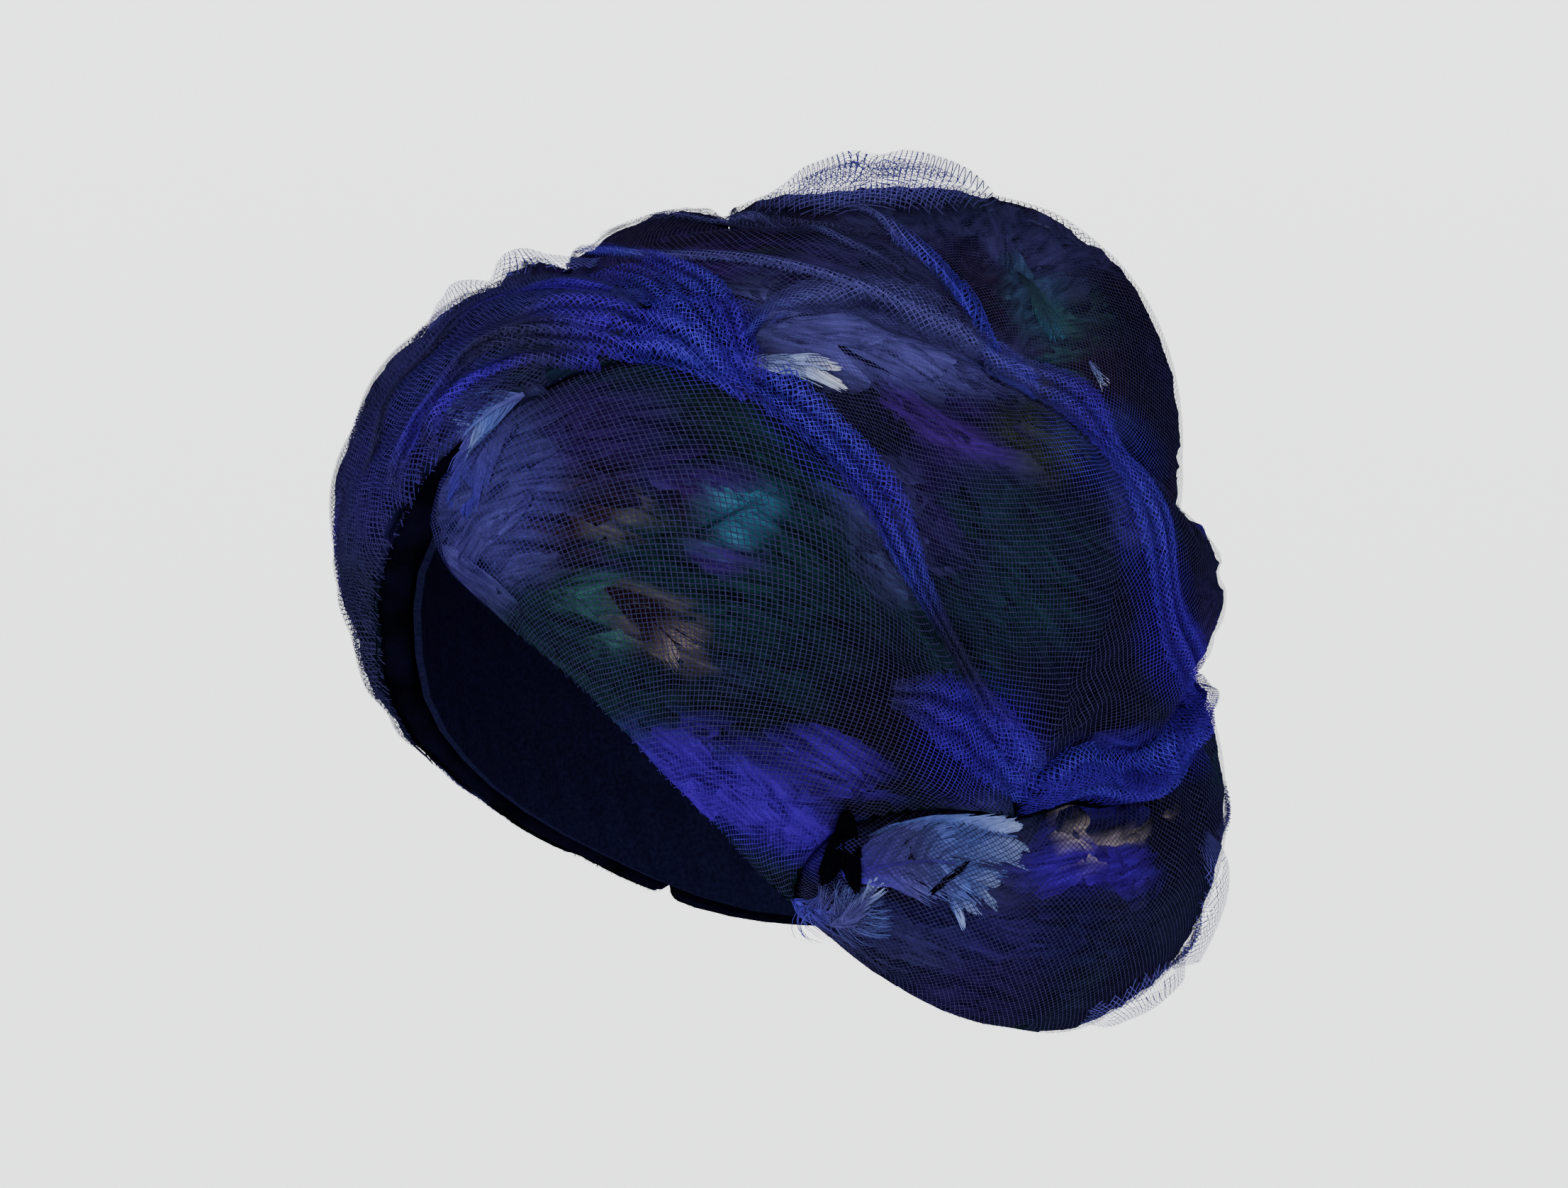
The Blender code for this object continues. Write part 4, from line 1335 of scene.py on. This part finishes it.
# the bubble of net on the crown, as shares along and across the dome and mm above it
crownPuff = {"at": (0.47, 0.18), "half": (0.13, 0.16), "height": 9.5, "fullness": 0.7, "tent": 0.14}

# its two layers: the threads' turn in degrees, and their share of its size
puffLayers = {"crown_puff_net": (30, 1.0), "crown_puff_net_2": (50, 0.8)}


class Bubble:
    def __init__(self, share):
        self.fold, self.share = folds["crown_dome"], share
        self.half = np.array(crownPuff["half"]) * share
        self.size = (2 * self.half[0] * self.fold.length, 2 * self.half[1] * self.fold.width)

    def parts(self, u, v):
        return u / self.size[0] * 2 - 1, v / self.size[1] * 2 - 1

    def holds(self, u, v):
        x, y = self.parts(u, v)
        return x ** 2 + y ** 2 < 1

    def points(self, u, v, over):
        x, y = self.parts(u, v)
        reach = np.clip(x ** 2 + y ** 2, 0, 1)
        fold = 0.8 * np.sin(5 * x + 3 * y) + 0.5 * np.sin(11 * x - 4 * y)
        tent = 1 + crownPuff["tent"] * np.cos(4 * np.arctan2(y, x) + 0.6)
        lift = crownPuff["height"] * self.share * tent * (1 - reach) ** crownPuff["fullness"]
        lift = netLooks["lift"] + lift + fold * (1 - reach) + over
        along = crownPuff["at"][0] + self.half[0] * x
        return self.fold.dressed(along, crownPuff["at"][1] + self.half[1] * y, lift)

    def tint(self, points, u, v):
        x, y = self.parts(u, v)
        inward = np.clip((1 - x ** 2 - y ** 2) / 0.45, 0, 1)
        return blend(plain("thread", points), dye("haze"), inward)


for title, (turn, share) in puffLayers.items():
    bubble = Bubble(share)
    piece = makeNet(title, netMesh(title, turn, bubble))
    if title == "crown_puff_net":
        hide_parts("crown_net_puff")


# Feathers whose barbs show one by one

# how many barbs a side has, their lengths in mm on either side, their width in mm, how far they
# lean from the quill in degrees and how unevenly, mm over the pads, colours from root to tip, and
# the quill's path in the photo's pixels
plumes = {
    "ear_plume_upper": (230, (20, 16), 0.5, 20, 0.05, 2.0, "slate steel sky",
        [(1198, 672), (1240, 662), (1284, 658), (1324, 658)]),
    "ear_plume_lower": (190, (16, 18), 0.5, 22, 0.05, 1.9, "slate steel steel",
        [(1204, 690), (1245, 684), (1282, 680), (1310, 678)]),
    "ear_plume_base": (150, (15, 14), 0.5, 36, 0.1, 3.0, "royal slate steel",
        [(1190, 690), (1215, 684), (1245, 680), (1278, 680)]),
    "ear_spray": (90, (10, 10), 0.4, 24, 0.12, 2.2, "steel steel sky",
        [(1262, 684), (1276, 688), (1290, 694), (1304, 702)]),
    "ear_spray_down": (80, (9, 9), 0.4, 22, 0.12, 2.3, "slate steel sky",
        [(1268, 686), (1274, 698), (1279, 708), (1284, 716)]),
    "ear_dark_vane": (150, (13, 12), 1.3, 30, 0.02, 3.5, "ink ink ink",
        [(1192, 638), (1191, 654), (1190, 670), (1189, 684)]),
    "ear_fluff": (150, (12, 10), 0.22, 48, 0.3, 2.0, "cobalt slate steel",
        [(1150, 712), (1170, 720), (1192, 722), (1212, 712)]),
    "ear_curl": (60, (7, 7), 0.35, 20, 0.12, 2.6, "slate slate sky",
        [(1180, 730), (1197, 722), (1209, 709), (1218, 696)]),
    "ear_quill": (40, (3, 3), 0.3, 16, 0.1, 2.9, "ink ink navy",
        [(1252, 708), (1266, 698), (1278, 688), (1288, 678)]),
    "brow_vane": (210, (17, 17), 0.6, 38, 0.06, 1.4, "navy slate cobalt",
        [(962, 312), (936, 322), (908, 350), (888, 398)]),
    "brow_barbs": (120, (13, 13), 0.22, 30, 0.12, 2.1, "slate steel sky",
        [(944, 316), (924, 324), (910, 336), (902, 350)]),
    "knot_quill": (110, (15, 11), 0.32, 15, 0.08, 2.6, "slate sky white",
        [(1112, 290), (1136, 287), (1160, 289), (1180, 295)]),
    "teal_streaks": (44, (9, 9), 0.22, 17, 0.12, 1.9, "ink teal teal",
        [(1074, 424), (1090, 414), (1110, 404), (1128, 396)]),
    "panel_tan_barbs": (110, (15, 15), 0.18, 28, 0.12, 1.9, "umber umber tan",
        [(1004, 466), (1022, 476), (1042, 492), (1060, 510)]),
    "crown_speck": (12, (4, 4), 0.25, 26, 0.2, 1.9, "slate sky white",
        [(1338, 173), (1345, 175), (1354, 180)]),
    "crown_speck_low": (12, (4, 4), 0.25, 26, 0.2, 1.9, "slate sky white",
        [(1386, 286), (1392, 295), (1397, 305)]),
    "crown_flecks": (60, (9, 9), 0.3, 30, 0.15, 1.8, "pine green teal",
        [(1330, 214), (1342, 228), (1352, 246), (1358, 266)]),
}


barbShape = {
    "steps": 5,
    "clump": 6,                  # barbs that stray together
    "brightness": (0.6, 1.25),
    "rooted": 0.92,              # share of the quill that carries barbs
    "curl": 0.35,                # share of its lean that a barb loses to its tip
    "taper": 0.75,               # share of its width that a barb loses to its tip
    "tipRise": 0.6,              # mm
    "quill": (1.1, 0.8),         # mm wide at its root, and what it loses to its tip
    "quillRise": 0.3,
}


def plumeMesh(name, seed):
    count, barbs, wide, leaning, ragged, rise, colours, path = plumes[name]
    random = np.random.default_rng(seed)
    strip = Strip(lineOf(path), max(barbs) * 0.6 + 2, loosen=3)
    bm, s, number, t = stripMesh(2 * count + 1, barbShape["steps"])
    quill = number == 2 * count
    side = np.where(number < count, -1.0, 1.0)
    rank = number % count / (count - 1)
    together = barbShape["clump"]
    clump = np.repeat(random.normal(0, 1, count // together + 2), together)[:count]
    wander = np.concatenate((clump, clump[::-1], [0]))[number]
    fine = random.normal(0, 1, 2 * count + 1)[number]
    bright = random.uniform(*barbShape["brightness"], 2 * count + 1)[number]
    reach = np.where(side < 0, *barbs) * np.sin(math.pi * (0.12 + 0.85 * rank)) ** 0.5
    tip = s * (reach * (1 + 0.06 * fine))
    lean = np.radians(leaning * (1 + 1.6 * ragged * wander + ragged * fine))
    lean = lean * (1 - barbShape["curl"] * s)
    width = wide * (1 - barbShape["taper"] * s ** 2)
    root = rank * strip.length * barbShape["rooted"]
    u = root + tip * np.cos(lean) - (t - 0.5) * width * np.sin(lean)
    v = side * (tip * np.sin(lean) + (t - 0.5) * width * np.cos(lean))
    u = np.where(quill, s * strip.length, u)
    v = np.where(quill, (t - 0.5) * (barbShape["quill"][0] - barbShape["quill"][1] * s), v)
    lift = rise + s * (barbShape["tipRise"] + 2 * ragged * wander)
    lift += 1.2 * ragged * fine + barbShape["quillRise"] * quill
    points = strip.at(u, v, lift)
    forward = unit(strip.grid[-1, 5] - strip.grid[-3, 5])
    points += np.maximum(u - strip.length, 0)[:, None] * mm * forward
    share = np.clip(0.75 * rank + 0.35 * s, 0, 1)
    first, middle, last = colours.split()
    tint = np.where(share[:, None] < 0.5, blend(plain(first, points), dye(middle), share * 2),
                    blend(plain(middle, points), dye(last), share * 2 - 1)) * bright[:, None]
    return settled(name, bm, points, tint, np.stack((u + number * 3.1, v), axis=1) * mm)


def barbFinish():
    finish = Finish("pale_barbs", Roughness=0.55, Specular_IOR_Level=0.0)
    streak = finish.noise(finish.flow((300, 1500, 1)), 1.0, 2.0)
    shade = finish.ramp(streak, 0.3, 0.7, (0.75, 1.3))
    return finish.end(Base_Color=finish.mix(1.0, finish.tint(), shade, "MULTIPLY"))


barbMaterial = barbFinish()
for index, name in enumerate(plumes):
    piece = makePiece(name, plumeMesh(name, 300 + index), barbMaterial)
    if name == "ear_plume_upper":
        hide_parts("ear_feathers")
print("the plumes are set")


# Pieces that keep the frame's own solids, with a finish

def plainFinish(name, colour, roughness, grain, shades):
    finish = Finish(name, Roughness=roughness, Specular_IOR_Level=0.0)
    cloth = finish.noise(finish.stretched(finish.place(), grain), 1.0, 2.0)
    shade = finish.ramp(cloth, 0.3, 0.7, shades)
    tinted = finish.mix(1.0, (*dye(colour), 1), shade, "MULTIPLY")
    return finish.end(Base_Color=tinted, Normal=finish.bump(cloth, 0.4, 0.0005))


def dressNode(name, material):
    node = frame["nodes"][name]
    node.data.materials.clear()
    node.data.materials.append(material)


dressNode("head_cap", plainFinish("cap_buckram", "navy", 0.85, (900, 900, 900), (1.8, 3.6)))
dressNode("back_loop", plainFinish("ribbed_ribbon", "royal", 0.7, (260, 260, 1500), (0.25, 1.5)))
